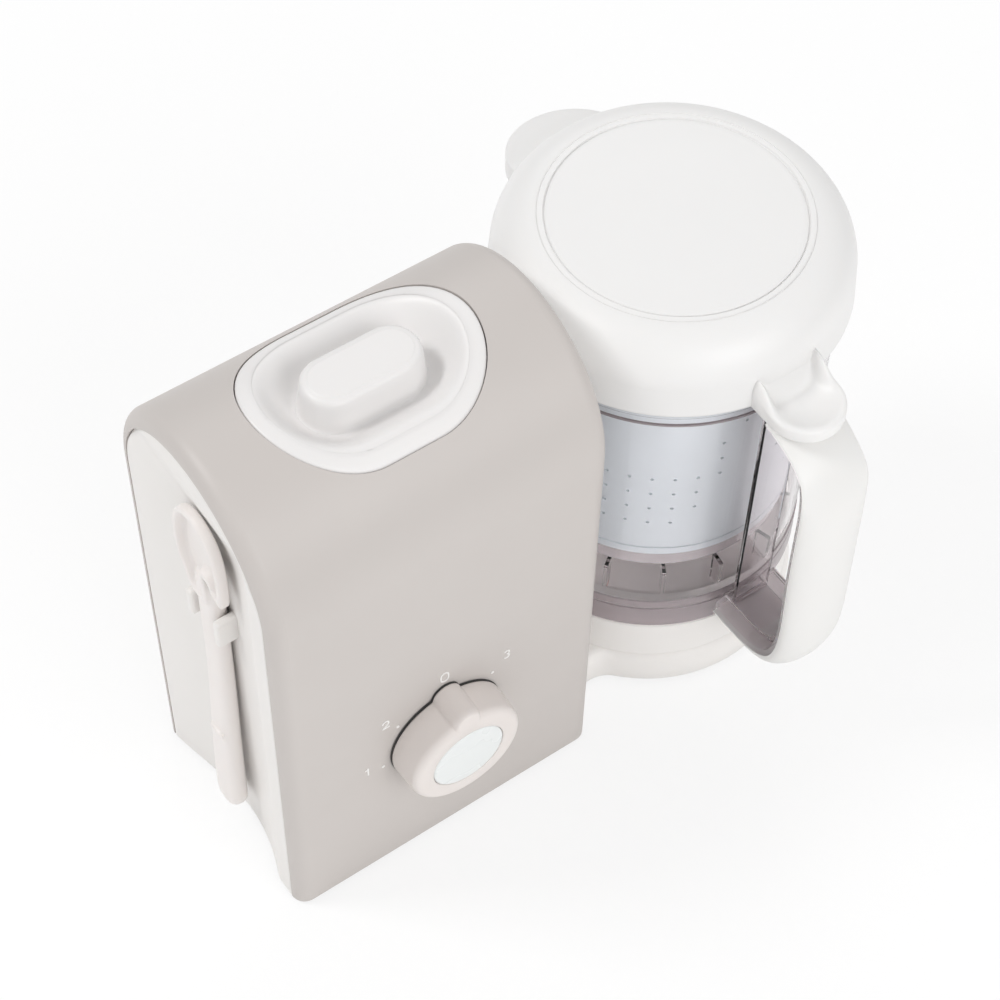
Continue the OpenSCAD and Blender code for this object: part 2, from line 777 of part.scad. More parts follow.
module figure_three() {
    translate([0, 3.7]) stroke_arc(1.2, stroke, -90, 150);
    translate([0, 1.3]) stroke_arc(1.2, stroke, -150, 90);
}

module dial_marks() color([0.98, 0.98, 0.97]) at_knob(0) {
    translate([0, mark_r, 0]) linear_extrude(mark_t) figure_zero();
    for (m = [-97, -48, 50]) rotate(-m) translate([0, knob_d / 2 + 3.6, 0]) cylinder(r = 0.7, h = mark_t);
    translate([-mark_r * sin(97), -mark_r * cos(83) + 1, 0]) linear_extrude(mark_t) figure_one();
    translate([-mark_r * sin(48), mark_r * cos(48) - 1, 0]) linear_extrude(mark_t) figure_two();
    translate([mark_r * sin(50) + 1, mark_r * cos(50), 0]) linear_extrude(mark_t) figure_three();
}

board_x = right_x - wall - 12;

module circuit_board() color([0.15, 0.4, 0.25]) {
    translate([board_x, body_y - 32, base_z + 40]) cube([1.6, 64, 74]);
    for (y = [-26, 26], z = [46, 108]) translate([board_x + 1.6 - eps, body_y + y, base_z + z])
        rotate([0, 90, 0]) cylinder(r = 3, h = right_x - wall - board_x - 1.6 + eps);
}

module board_components() color([0.2, 0.2, 0.22]) {
    translate([board_x - 10, body_y - 20, base_z + 84]) cube([10, 18, 16]);
    translate([board_x - 8, body_y + 4, base_z + 82]) cube([8, 14, 20]);
    translate([board_x - 12, body_y - 10, base_z + 56]) rotate([0, 90, 0]) cylinder(r = 6, h = 12);
}

// ---------- interlock ----------

plunger_x = jug_x - 44;
plunger_r = 2.4;
plunger_top = seat_z + 2.5;
peg_z = plunger_top + gap;

module interlock_switch() color([0.2, 0.2, 0.22])
    translate([plunger_x - 6, jug_y - 5, plate_z]) difference() {
    cube([13, 10, 10]);
    translate([6, 5, 3]) cylinder(r = plunger_r + gap, h = 10);
}

module interlock_plunger() color([0.85, 0.3, 0.2])
    translate([plunger_x, jug_y, plate_z + 3 + 2.5]) cylinder(r = plunger_r, h = plunger_top - plate_z - 5.5);

// ---------- jug ----------

neck_z = lid_z - 6;
band_t = 0.9;

// Outer radius of the jug's wall at a height
function jug_r(z) = foot_r + (rim_out_r - foot_r) * max(0, z - floor_z) / (rim_z - floor_z);

module jug_outside() {
    rotate_extrude() polygon([
        [0, seat_z], [foot_r, seat_z], [foot_r, floor_z - 5], [foot_r - 0.7, floor_z - 4],
        [foot_r - 0.7, floor_z - 2], [foot_r, floor_z - 1], [jug_r(neck_z), neck_z],
        [jug_r(neck_z) + band_t, neck_z + 0.6], [jug_r(neck_z) + band_t, neck_z + 2.4],
        [jug_r(neck_z), neck_z + 3], [rim_out_r, rim_z - 1], [rim_out_r - 1, rim_z], [0, rim_z]
    ]);
}

module jug_inside() {
    rotate_extrude() polygon([
        [0, floor_z], [foot_r - jug_wall - 3, floor_z], [foot_r - jug_wall, floor_z + 3],
        [rim_out_r - jug_wall, rim_z], [rim_out_r - jug_wall, rim_z + 1], [0, rim_z + 1]
    ]);
}

spout_h = 28;
spout_r = 20;

// Pouring spout, set in by a wall for its hollow
module spout_cone(inset) {
    translate([0, spout_reach - spout_r, rim_z - spout_h])
        cylinder(r1 = 3 - inset, r2 = spout_r - inset, h = spout_h + (inset > 0 ? 1 : 0));
}

// Finger opening outline in (distance out, height), grown by the liner's wall
function window_pts(grow) = let (
        x0 = window_in - grow, x1 = window_out + grow, z0 = window_low - grow, z1 = window_high + grow,
        rt = min(window_top_r, window_out - window_in - 4.5) + grow,
        rl = min(window_low_r, window_out - window_in - 4.5) + grow,
        ri = 4 + grow)
    concat(
        arc_pts(x1 - rl, z0 + rl, rl, -90, 0),
        arc_pts(x1 - rt, z1 - rt, rt, 0, 90),
        arc_pts(x0 + ri, z1 - ri, ri, 90, 180, 6),
        arc_pts(x0 + ri, z0 + ri, ri, 180, 270, 6));

rib_in = foot_r - jug_wall - 5.5;
rib_w = 1.6;

module jug_body() color([0.75, 0.74, 0.76, 0.5]) {
    difference() {
        union() {
            at_jug() jug_outside();
            at_jug() spout_cone(0);
        }
        at_jug() jug_inside();
        at_jug() spout_cone(jug_wall);
        at_jug(seat_z - 1) cylinder(r = foot_r - jug_wall, h = floor_z - floor_t - seat_z + 1);
        at_jug(floor_z - 10) cylinder(r = bush_r, h = 20);
    }
    at_jug() for (i = [0 : rib_count - 1]) rotate(-90 - 9.5 - i * 360 / rib_count)
        translate([rib_in, -rib_w / 2, floor_z - 0.5])
            cube([foot_r - jug_wall / 2 - rib_in, rib_w, rib_h + 0.5]);
    translate([plunger_x, jug_y, peg_z]) cylinder(r = 3, h = floor_z - floor_t / 2 - peg_z);
}

// Clear liner of the finger opening, with the two webs that carry the handle
module handle_liner() color([0.75, 0.74, 0.76, 0.5]) difference() {
    union() {
        handle_slab(handle_w) polygon(window_pts(liner_t));
        handle_slab(handle_w - 6) for (z = [window_low - liner_t, window_high - 2])
            translate([foot_r - 8, z]) square([window_in - foot_r + 8, liner_t + 2]);
    }
    handle_slab(handle_w + 2) polygon(window_pts(0));
    jug_envelope(seam);
}

// Outer outline of the handle in (distance out, height)
cover_top = lid_z - 2;
cover_low = window_low - liner_t - 7;

function cover_pts(inset) = let (
        x1 = handle_reach - inset, z0 = cover_low + inset, z1 = cover_top - inset, x0 = foot_r - 6 + inset)
    concat(
        [[x0, z0]],
        arc_pts(x1 - 26, z0 + 26, 26, -90, 0),
        arc_pts(x1 - 20, z1 - 20, 20, 0, 90),
        [[x0, z1]]);

// Everything within reach of the jug's outside, for pieces shaped to sit against it
module jug_envelope(extra) {
    at_jug(base_z) cylinder(r = foot_r + extra, h = floor_z - base_z);
    at_jug(floor_z - eps) cylinder(r1 = foot_r + extra, r2 = rim_out_r + extra, h = rim_z - floor_z);
    at_jug(neck_z - 1) cylinder(r = jug_r(neck_z) + band_t + extra, h = body_h);
}

// Plan of the grip, set in by a wall: rounded at its outer corners
module grip_plan(inset) {
    translate([jug_x, jug_y, 0]) linear_extrude(top_z) {
        w = handle_w / 2 - inset;
        r = handle_edge_r - inset;
        translate([-w, r + inset - handle_reach]) square([2 * w, handle_reach]);
        translate([r - w, inset - handle_reach]) square([2 * w - 2 * r, handle_reach]);
        for (x = [-1, 1]) translate([x * (w - r), r + inset - handle_reach]) circle(r);
    }
}

module handle_cover() color([0.95, 0.945, 0.935]) difference() {
    intersection() {
        handle_slab(handle_w) polygon(cover_pts(0));
        grip_plan(0);
    }
    handle_slab(handle_w + 2) polygon(window_pts(liner_t));
    handle_slab(handle_w + 2) translate([0, window_low - liner_t])
        square([window_in, window_high - window_low + 2 * liner_t]);
    intersection() {
        handle_slab(handle_w - 2 * handle_wall) intersection() {
            polygon(cover_pts(handle_wall));
            translate([window_in + 10, 0]) square([handle_reach, top_z]);
        }
        grip_plan(handle_wall);
    }
    jug_envelope(gap);
}

// ---------- blades ----------

bush_r = spindle_d / 2 + 5;

module blade_bush() color([0.85, 0.84, 0.82]) at_jug(floor_z - floor_t - 3) {
    ring(bush_r, spindle_d / 2 + run, floor_t + 5);
    translate([0, 0, 3 + floor_t]) ring(bush_r + 3, spindle_d / 2 + run, 2);
}

module blade_seal() color([0.8, 0.3, 0.25]) at_jug(floor_z - floor_t - 1.5) ring(bush_r + 3, bush_r, 1.5);

// The socket drops over the driver; the blade shaft is pressed into the web above it
socket_lift = 0.6;
socket_z = coupling_z + coupling_h + gap;
web_t = 2.2;
hub_z = floor_z + 2.4;

module blade_shaft() color([0.75, 0.75, 0.76])
    at_jug(socket_z) cylinder(d = spindle_d, h = hub_z + 19.6 - socket_z);

module blade_coupling() color([0.2, 0.2, 0.21]) at_jug(coupling_z + socket_lift) difference() {
    cylinder(r = coupling_r - 0.5, h = socket_z + web_t - coupling_z - socket_lift);
    translate([0, 0, -1]) linear_extrude(socket_z - coupling_z - socket_lift + 1)
        lobes(coupling_r - 4 + gap, 2.5 + gap);
    cylinder(d = spindle_d, h = 40);
}

module blade_hub() color([0.9, 0.89, 0.88]) at_jug(hub_z) difference() {
    rotate_extrude()
        polygon(concat([[0, 0], [hub_r + 2, 0], [hub_r, 4]], arc_pts(hub_r - 5, 17, 5, 0, 90, 6), [[0, 22]]));
    translate([0, 0, -1]) cylinder(d = spindle_d, h = 20.6);
}

// One blade outline, tip swept back
function blade_pts() = [
    [hub_r - 1, -blade_w / 2], [blade_r - 10, -blade_w / 2], [blade_r, -blade_w / 4],
    [blade_r - 3, blade_w / 6], [hub_r + 8, blade_w / 2], [hub_r - 1, blade_w / 2]];

module blades() color([0.78, 0.78, 0.8]) at_jug(floor_z + 8) difference() {
    union() {
        for (a = [0, 180]) rotate(a) rotate([0, -6, 0]) linear_extrude(blade_t) polygon(blade_pts());
        for (a = [90, 270]) translate([0, 0, 6]) rotate(a) rotate([0, 4, 0])
            linear_extrude(blade_t) polygon(blade_pts());
    }
    translate([0, 0, -10]) cylinder(r = hub_r, h = 40);
}

// ---------- steam basket ----------

basket_z = floor_z + rib_h + gap;
basket_top = rim_z - basket_drop;
basket_floor = basket_z + basket_foot_h;
basket_foot_r = basket_r - 1.4;
hole_cols = 32;
hole_rows = 4;

module steam_basket() color([0.83, 0.86, 0.89, 0.8]) at_jug() difference() {
    rotate_extrude() polygon([
        [basket_foot_r, basket_z], [basket_foot_r, basket_floor - 1], [basket_r, basket_floor],
        [basket_r, basket_top - 3], [basket_r + 2, basket_top],
        [basket_r + 2 - basket_wall, basket_top], [basket_r - basket_wall, basket_top - 3],
        [basket_r - basket_wall, basket_floor + basket_wall],
        [0, basket_floor + basket_wall],
        [0, basket_floor],
        [basket_foot_r - basket_wall, basket_floor - 1], [basket_foot_r - basket_wall, basket_z]]);
    for (i = [0 : hole_cols - 1]) rotate(i * 360 / hole_cols)
        translate([basket_r - 4, 0, basket_floor + 14 + 9 * (i % hole_rows)])
            rotate([0, 90, 0]) cylinder(d = hole_d, h = 10);
    for (i = [0 : 11]) rotate(i * 30) translate([38 - 10 * (i % 2), 0, basket_floor - 1])
        cylinder(d = hole_d, h = 5);
}

// ---------- lid ----------

lid_side_r = lid_disc_r + 0.6 + shoulder_r;
shoulder_z = lid_top - shoulder_r;

module lid_profile(t, low) {
    polygon(concat(
        [[0, low], [lid_r - t, low]],
        arc_pts(lid_side_r - shoulder_r, shoulder_z, shoulder_r - t, 0, 90, 16),
        [[0, lid_top - t]]));
}

// Pouring hood, set in for its hollow
module hood_block(t, low) {
    intersection() {
        at_jug(low) translate([0, hood_reach - hood_r, 0]) cylinder(r = hood_r - t, h = 30);
        translate([jug_x - 50, jug_y, 0]) rotate([90, 0, 90]) linear_extrude(100) polygon([
            [lid_r - 25, low - 1], [hood_reach + 1, low - 1], [hood_reach + 1, lid_z + 5 - t],
            [lid_r - 6, lid_z + 16 - t], [lid_r - 25, lid_z + 16 - t]]);
    }
}

paddle_z = lid_z - 0.8;
paddle_t = 6;
paddle_dish = 4;
paddle_dish_r = 28;

module lid_shell() color([0.925, 0.925, 0.92]) difference() {
    union() {
        at_jug() rotate_extrude() lid_profile(0, lid_z);
        hood_block(0, lid_z);
        paddle();
    }
    at_jug() rotate_extrude() lid_profile(lid_wall, lid_z - 2);
    hood_block(lid_wall, lid_z - 1);
    at_jug(lid_top - 2 * lid_wall) cylinder(r = lid_disc_r + seam, h = 3 * lid_wall);
    translate([jug_x - lid_side_r - 3, jug_y, steam_z]) rotate([0, 90, 0])
        cylinder(r = port_r, h = 8);
}

// Thumb paddle with its two horns, hollowed by a thumb dish
module paddle() {
    reach = paddle_reach - paddle_w / 2;
    difference() {
        union() {
            translate([jug_x, jug_y - reach, paddle_z]) cylinder(d = paddle_w, h = paddle_t);
            translate([jug_x - paddle_w / 2, jug_y - reach, paddle_z])
                cube([paddle_w, reach - lid_r + 6, paddle_t]);
            for (s = [-1, 1])
                    translate([jug_x + s * (paddle_w / 2 - 1.5) - 1.5, jug_y, 0]) rotate([90, 0, 90])
                linear_extrude(3) polygon([[8 - lid_r, paddle_z + 2], [-lid_r - 14, paddle_z + 2],
                    [-lid_r - 12, paddle_z + paddle_t], [-lid_r + 1, lid_z + 14], [8 - lid_r, lid_z + 14]]);
        }
        translate([jug_x, jug_y - reach, paddle_z + paddle_t - paddle_dish + paddle_dish_r])
            sphere(r = paddle_dish_r);
    }
}

module lid_top_disc() color([0.925, 0.925, 0.925]) at_jug(lid_top - lid_wall) difference() {
    cylinder(r = lid_disc_r, h = lid_wall);
    translate([0, 0, lid_wall - 0.6]) ring(lid_disc_r - 0.4, lid_disc_r - 1.6, 2);
    translate([0, 0, -1]) cylinder(r = lid_disc_r - 6, h = 1.8);
}

liner_r = rim_out_r - jug_wall - 4.5;

module lid_liner() color([0.9, 0.9, 0.9]) at_jug(rim_z - 8) difference() {
    rotate_extrude() polygon([
        [0, 0], [liner_r + 3, 0], [liner_r + 3, 8.2], [rim_out_r + 1, 8.2], [rim_out_r + 1, 10],
        [liner_r + 1, 10], [liner_r + 1, 2.4], [0, 2.4]]);
    for (a = [0 : 45 : 359]) rotate(a) translate([30, 0, -1]) cylinder(r = 2, h = 6);
}

module lid_seal() color([0.82, 0.82, 0.84])
    at_jug(rim_z - 6) ring(rim_out_r - jug_wall - 0.35, liner_r + 3, 4);

// ---------- spatula ----------

spat_y = front_y + 50;
spat_z = base_z + 15;
spat_out_x = left_x - spat_proud;
spat_in_x = spat_out_x + spat_t;
head_z = spat_z + spat_l - head_l;

// Handle outline in (distance back, height), its upper end rounded on the face of the head
handle_end = 7;
taper_z = clip_z - spat_z - 25;
function spat_pts() = concat(
    arc_pts(0, spat_w / 2, spat_w / 2, 180, 360, 10),
    [[spat_neck_w / 2, taper_z]],
    arc_pts(0, spat_l - head_l + handle_end, spat_neck_w / 2, 0, 180, 10),
    [[-spat_neck_w / 2, taper_z]]);

// Head outline in (distance back, height): its front edge ends square, its back edge runs to the neck
head_r = 14;
function head_pts(inset) = concat(
    [[spat_neck_w / 2 - inset, inset], [head_w / 2 - inset, head_r]],
    arc_pts(head_w / 2 - head_r, head_l - head_r, head_r - inset, 0, 90, 8),
    arc_pts(head_r - head_w / 2, head_l - head_r, head_r - inset, 90, 180, 8),
    [[inset - head_w / 2, inset]]);

head_dy = -1.5;
head_set = 1.5;
head_rim = 3.6;
head_floor_t = 1.8;
head_x = spat_out_x + head_set;

module spatula() color([0.95, 0.935, 0.93]) difference() {
    union() {
        translate([spat_out_x, spat_y, spat_z])
            rotate([90, 0, 90]) linear_extrude(spat_t) polygon(spat_pts());
        difference() {
            translate([head_x, spat_y + head_dy, head_z])
                rotate([90, 0, 90]) linear_extrude(head_t) polygon(head_pts(0));
            translate([head_x - 1, spat_y + head_dy, head_z])
                rotate([90, 0, 90]) linear_extrude(head_t - head_floor_t + 1) polygon(head_pts(head_rim));
        }
    }
    translate([head_x + head_t, front_y, head_z]) cube([spat_t, body_d, head_l + 1]);
}

housing_shell();
left_side_panel();
right_side_panel();
base_tray();
jug_seat();
bottom_cover();
rubber_feet();
cover_screws();
tank_lid();
tank_lid_seal();
boiler_tank();
heating_element();
thermostats();
steam_tube();
steam_outlet();
steam_outlet_seal();
inner_frame();
motor_can();
motor_end_cap();
armature();
motor_shaft();
motor_bearings();
cooling_fan();
motor_pulley();
drive_belt();
driven_pulley();
drive_shaft();
drive_bearings();
drive_coupling();
control_knob();
knob_disc();
knob_shaft();
rotary_switch();
dial_marks();
circuit_board();
board_components();
interlock_switch();
interlock_plunger();
cable_gland();
jug_body();
handle_liner();
handle_cover();
blade_coupling();
blade_shaft();
blade_bush();
blade_seal();
blade_hub();
blades();
steam_basket();
lid_shell();
lid_top_disc();
lid_liner();
lid_seal();
spatula();
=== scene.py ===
import bpy
import bmesh
from math import atan2, cos, degrees, exp, hypot, pi, radians, sin, sqrt
from mathutils import Vector, Matrix


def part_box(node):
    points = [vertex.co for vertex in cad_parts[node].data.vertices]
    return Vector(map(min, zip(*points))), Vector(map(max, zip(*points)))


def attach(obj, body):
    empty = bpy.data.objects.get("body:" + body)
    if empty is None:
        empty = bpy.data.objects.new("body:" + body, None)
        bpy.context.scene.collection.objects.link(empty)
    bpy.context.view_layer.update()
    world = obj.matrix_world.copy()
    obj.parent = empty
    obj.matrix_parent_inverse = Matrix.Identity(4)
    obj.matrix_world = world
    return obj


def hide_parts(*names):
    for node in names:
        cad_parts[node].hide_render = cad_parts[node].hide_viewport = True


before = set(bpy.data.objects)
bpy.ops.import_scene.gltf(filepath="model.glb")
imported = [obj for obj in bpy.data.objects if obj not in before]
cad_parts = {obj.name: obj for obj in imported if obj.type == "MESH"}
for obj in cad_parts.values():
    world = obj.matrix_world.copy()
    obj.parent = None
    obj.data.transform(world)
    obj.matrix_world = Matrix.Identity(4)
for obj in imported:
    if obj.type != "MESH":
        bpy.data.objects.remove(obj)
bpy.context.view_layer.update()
scene = bpy.context.scene
mm = 0.001

# The housing's front left bottom corner and the jug's axis, in millimetres
corner = [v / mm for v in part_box("housing_shell")[0]]
seatLow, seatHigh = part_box("jug_seat")
jugAxis = [(seatLow[0] + seatHigh[0]) / 2 / mm, (seatLow[1] + seatHigh[1]) / 2 / mm, corner[2]]
seatX, seatY = jugAxis[0] - corner[0], jugAxis[1] - corner[1]
print("frame loaded: housing corner", [round(v, 1) for v in corner])
print("jug axis", [round(v, 1) for v in jugAxis])


# ---- camera: the solved viewpoint, kept relative to the housing's corner ----

camera = {
    "place": (-206.41, -408.63, 902.22),
    "right": (0.818481, -0.574317, 0.015779),
    "down": (-0.457116, -0.667600, -0.587669),
    "ahead": (0.348042, 0.473783, -0.808948),
    "focal": 2.48443,      # in widths of the frame
    "sensor": 36,
    "clip": (0.01, 20),
}


def addObject(name, data):
    obj = bpy.data.objects.new(name, data)
    scene.collection.objects.link(obj)
    return obj


def makeCamera():
    data = bpy.data.cameras.new("viewCamera")
    data.sensor_fit = "HORIZONTAL"
    data.sensor_width = camera["sensor"]
    data.lens = camera["focal"] * camera["sensor"]
    data.clip_start, data.clip_end = camera["clip"]
    obj = addObject("viewCamera", data)
    right, down, ahead = (Vector(camera[k]).normalized() for k in ("right", "down", "ahead"))
    turn = Matrix((right, -down, -ahead)).transposed()
    place = (Vector(camera["place"]) + Vector(corner)) * mm
    obj.matrix_world = Matrix.Translation(place) @ turn.to_4x4()
    scene.camera = obj


makeCamera()
scene.view_settings.view_transform = "Standard"
print("camera set")


# ---- materials ----

texture = {
    "ior": 1.49,           # of the moulded plastics
    "scatter": (0.004, 0.0035, 0.003),
    "patch": 30,           # millimetres from one drift of tone to the next
    "flow": 22,            # the same for the flow seen in clear plastic
    "mouldedBump": 0.35,
    "clearBump": 0.12,
    "metalBump": 0.3,
}


def toLinear(hexText):
    channels = [int(hexText[i:i + 2], 16) / 255 for i in (1, 3, 5)]
    return [c / 12.92 if c <= 0.04045 else ((c + 0.055) / 1.055) ** 2.4 for c in channels] + [1.0]


def addNode(tree, kind, inputs=None, links=None, output=0, **settings):
    # Returns the socket that the next node is linked to
    node = tree.nodes.new("ShaderNode" + kind)
    for name, value in settings.items():
        setattr(node, name, value)
    for name, value in (inputs or {}).items():
        node.inputs[name].default_value = value
    for name, socket in (links or {}).items():
        tree.links.new(socket, node.inputs[name])
    return node.outputs[output]


def newMaterial(name, values):
    mat = bpy.data.materials.new(name)
    mat.use_nodes = True
    tree = mat.node_tree
    shader = tree.nodes["Principled BSDF"].inputs
    for key, value in values.items():
        shader[key].default_value = value
    return mat, tree, shader, addNode(tree, "TexCoord", output="Object")


def addNoise(tree, place, size, detail, distortion=0.0):
    values = {"Scale": 1 / (size * mm), "Detail": detail, "Distortion": distortion}
    return addNode(tree, "TexNoise", values, {"Vector": place})


def addSurface(tree, shader, drift, grain, smoothest, roughest, strength, relief):
    # Roughness that drifts, and a fine relief
    rough = addNode(tree, "MapRange", {"To Min": smoothest, "To Max": roughest}, {"Value": drift})
    tree.links.new(rough, shader["Roughness"])
    bump = addNode(tree, "Bump", {"Strength": strength, "Distance": relief * mm}, {"Height": grain})
    tree.links.new(bump, shader["Normal"])


def moulded(name, hexText, shade, roughness, grain=0.35, relief=0.02, sss=0.0):
    # Moulded plastic: fine texture left by the tool, and a slow drift of tone from flow and handling
    mat, tree, shader, place = newMaterial(name, {"IOR": texture["ior"], "Subsurface Weight": sss,
                                                  "Subsurface Scale": 1.0,
                                                  "Subsurface Radius": texture["scatter"]})
    drift = addNoise(tree, place, texture["patch"], 3.0)
    tones = {6: toLinear(hexText), 7: toLinear(shade)}
    tree.links.new(addNode(tree, "Mix", tones, {0: drift}, 2, data_type="RGBA"), shader["Base Color"])
    addSurface(tree, shader, drift, addNoise(tree, place, grain, 2.0), roughness - 0.05, roughness + 0.05,
               texture["mouldedBump"], relief)
    return mat


def clearPlastic(name, hexText, roughness, ior, weight=1.0, shadow=0.0):
    # Clear or translucent plastic, with moulding flow only just seen in its surface
    mat, tree, shader, place = newMaterial(name, {"Base Color": toLinear(hexText), "IOR": ior,
                                                  "Transmission Weight": weight})
    flow = addNoise(tree, place, texture["flow"], 1.0, 0.6)
    addSurface(tree, shader, flow, flow, roughness, roughness + 0.03, texture["clearBump"], 0.12)
    ray = addNode(tree, "LightPath", output="Is Shadow Ray")   # lamp light goes through it
    cover = addNode(tree, "MapRange", {"To Min": 1.0, "To Max": shadow}, {"Value": ray})
    tree.links.new(cover, shader["Alpha"])
    return mat


def metal(name, hexText, roughness, brush=0.15, stretch=40, relief=0.006):
    # Drawn or ground metal: fine lines along the working direction
    mat, tree, shader, place = newMaterial(name, {"Base Color": toLinear(hexText), "Metallic": 1.0})
    drawn = addNode(tree, "Mapping", {"Scale": (1, 1, 1 / stretch)}, {"Vector": place})
    lines = addNoise(tree, drawn, brush, 3.0)
    addSurface(tree, shader, lines, lines, roughness - 0.06, roughness + 0.08, texture["metalBump"], relief)
    return mat


finishes = {
    "taupeAbs": moulded("moulded ABS, spark-eroded satin, taupe", "#cbc5c1", "#c8c2be", 0.46, 0.5),
    "whitePanelPp": moulded("moulded polypropylene, satin, warm white", "#f1eeeb", "#eeebe8", 0.42,
                            sss=0.05),
    "whiteLidPp": moulded("moulded polypropylene, fine satin, white", "#efeeed", "#edeceb", 0.4, sss=0.05),
    "whiteCapAbs": moulded("moulded ABS, satin, cap white", "#edecea", "#ebeae8", 0.4, sss=0.05),
    "tankCapAbs": moulded("moulded ABS, satin, tank cap white", "#ebe9e8", "#e9e7e6", 0.4, sss=0.05),
    "knobAbs": moulded("moulded ABS, satin, blush white", "#e8e1dd", "#e5deda", 0.42, sss=0.05),
    "discAbs": moulded("moulded ABS, polished, cool white", "#ebeeed", "#e9ecec", 0.28, relief=0.008),
    "basePp": moulded("moulded polypropylene, satin, base white", "#f7f4f1", "#f4f1ee", 0.42, sss=0.05),
    "spatulaPp": moulded("moulded polypropylene, satin, pinkish white", "#f2edea", "#efe9e6", 0.4, sss=0.08),
    "coverPp": moulded("moulded polypropylene, matt, grey", "#8f8c8a", "#8a8785", 0.55, 0.8, 0.04),
    "framePp": moulded("glass-filled polypropylene, matt", "#b8b5b2", "#b0adaa", 0.6, 0.6, 0.04),
    "darkPa": moulded("glass-filled polyamide, matt, dark", "#3a3a3c", "#343436", 0.5, 0.4, 0.03),
    "palePom": moulded("turned acetal, pale", "#d9d6d1", "#d4d1cc", 0.35, relief=0.01),
    "redPom": moulded("moulded acetal, signal red", "#c9503f", "#c14b3a", 0.38, relief=0.01),
    "silicone": moulded("moulded silicone, translucent white", "#dedee0", "#d8d8da", 0.5, 0.35, 0.01, 0.25),
    "redSilicone": moulded("moulded silicone, brick red", "#c4584a", "#bb5245", 0.5, 0.35, 0.01, 0.1),
    "darkRubber": moulded("moulded nitrile rubber, dark", "#3c3b3b", "#353434", 0.7, 0.9, 0.05),
    "beltRubber": moulded("woven-backed neoprene belt", "#262626", "#1f1f1f", 0.75, 1.2, 0.12),
    "printInk": moulded("pad-printed ink, white", "#f6f5f3", "#f3f2f0", 0.5, relief=0.004),
    "laminate": moulded("glass-epoxy laminate, green solder resist", "#2f6a48", "#2a6042", 0.35, 1.5),
    "clearJug": clearPlastic("moulded clear copolyester, polished", "#fcf9fa", 0.015, 1.2),
    "clearLoop": clearPlastic("moulded clear copolyester, thick section", "#fdf8fa", 0.015, 1.25),
    # Frosted bands at the foot; their darker tint is painted shade
    "clearBand": clearPlastic("moulded clear copolyester, frosted band", "#c8bdc0", 0.2, 1.54, 0.6, 0.2),
    # The bead's dark tint is painted shade, standing for the dark line the clear bead shows edge on
    "clearBead": clearPlastic("moulded clear copolyester, bead tinted with painted shade", "#a99fa2", 0.1, 1.54,
                              0.4, 0.3),
    "basketPp": clearPlastic("moulded translucent polypropylene, bluish", "#dee6ea", 0.3, 1.49, 0.12, 0.3),
    "basketFootPp": clearPlastic("moulded translucent polypropylene, thin", "#f3eef0", 0.2, 1.4, 0.7, 0.1),
    "tankSteel": metal("deep-drawn stainless steel", "#c6c4c2", 0.32),
    "bladeSteel": metal("ground stainless steel", "#cfcecd", 0.2, 0.1),
    "shaftSteel": metal("turned steel", "#bdbcbb", 0.25, stretch=0.1),
    "heaterSteel": metal("heat-tinted stainless steel", "#a09688", 0.38),
    "screwZinc": metal("zinc-plated steel", "#c4c5c8", 0.35, stretch=1),
    "castAluminium": metal("die-cast aluminium", "#c9c9c6", 0.45, 0.4, 1, 0.03),
    "copperWire": metal("enamelled copper wire, wound", "#a5612f", 0.35, 0.6, 8, 0.1),
    "motorSteel": metal("zinc-plated drawn steel", "#a5a5a7", 0.38),
}

# The carried-over parts that wear each finish
wearers = {
    "taupeAbs": "housing_shell",
    "whitePanelPp": "left_side_panel right_side_panel steam_outlet lid_liner",
    "whiteLidPp": "lid_shell lid_top_disc",
    "whiteCapAbs": "handle_cover blade_hub",
    "tankCapAbs": "tank_lid",
    "knobAbs": "control_knob",
    "discAbs": "knob_disc",
    "basePp": "base_tray jug_seat",
    "spatulaPp": "spatula",
    "coverPp": "bottom_cover",
    "framePp": "inner_frame",
    "darkPa": "motor_end_cap cooling_fan motor_pulley drive_coupling rotary_switch board_components "
              "interlock_switch blade_coupling",
    "palePom": "driven_pulley knob_shaft blade_bush",
    "redPom": "interlock_plunger",
    "silicone": "tank_lid_seal steam_tube steam_outlet_seal lid_seal",
    "redSilicone": "blade_seal",
    "darkRubber": "rubber_feet cable_gland",
    "beltRubber": "drive_belt",
    "printInk": "dial_marks",
    "laminate": "circuit_board",
    "clearJug": "jug_body",
    "clearLoop": "handle_liner",
    "basketPp": "steam_basket",
    "tankSteel": "boiler_tank",
    "bladeSteel": "blades",
    "shaftSteel": "motor_shaft motor_bearings drive_shaft drive_bearings blade_shaft",
    "heaterSteel": "heating_element",
    "screwZinc": "cover_screws",
    "castAluminium": "thermostats",
    "copperWire": "armature",
    "motorSteel": "motor_can",
}
for finishName, nodeNames in wearers.items():
    for nodeName in nodeNames.split():
        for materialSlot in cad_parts[nodeName].material_slots:
            materialSlot.material = finishes[finishName]
print("materials made and laid on the carried-over parts")


# ---- mesh helpers ----

def smoothStep(t):
    t = min(1.0, max(0.0, t))
    return t * t * (3 - 2 * t)


def mix(a, b, t):
    return a + (b - a) * t


def softMax(a, b, width):
    overlap = max(width - abs(a - b), 0.0) / width
    return max(a, b) + overlap * overlap * width / 4


def softMin(a, b, width):
    return -softMax(-a, -b, width)


def spread(start, end, count):
    return [mix(start, end, i / (count - 1)) for i in range(count)]


def arc(centre, radius, start, end, count):
    # Points of a circular arc in a plane, its angles in degrees
    return [(centre[0] + radius * cos(radians(a)), centre[1] + radius * sin(radians(a)))
            for a in spread(start, end, count)]


def quarterRound(radius, distance):
    # How far a rounded edge falls back at a distance from its border
    return radius - sqrt(max(0.0, radius ** 2 - max(0.0, radius - distance) ** 2))


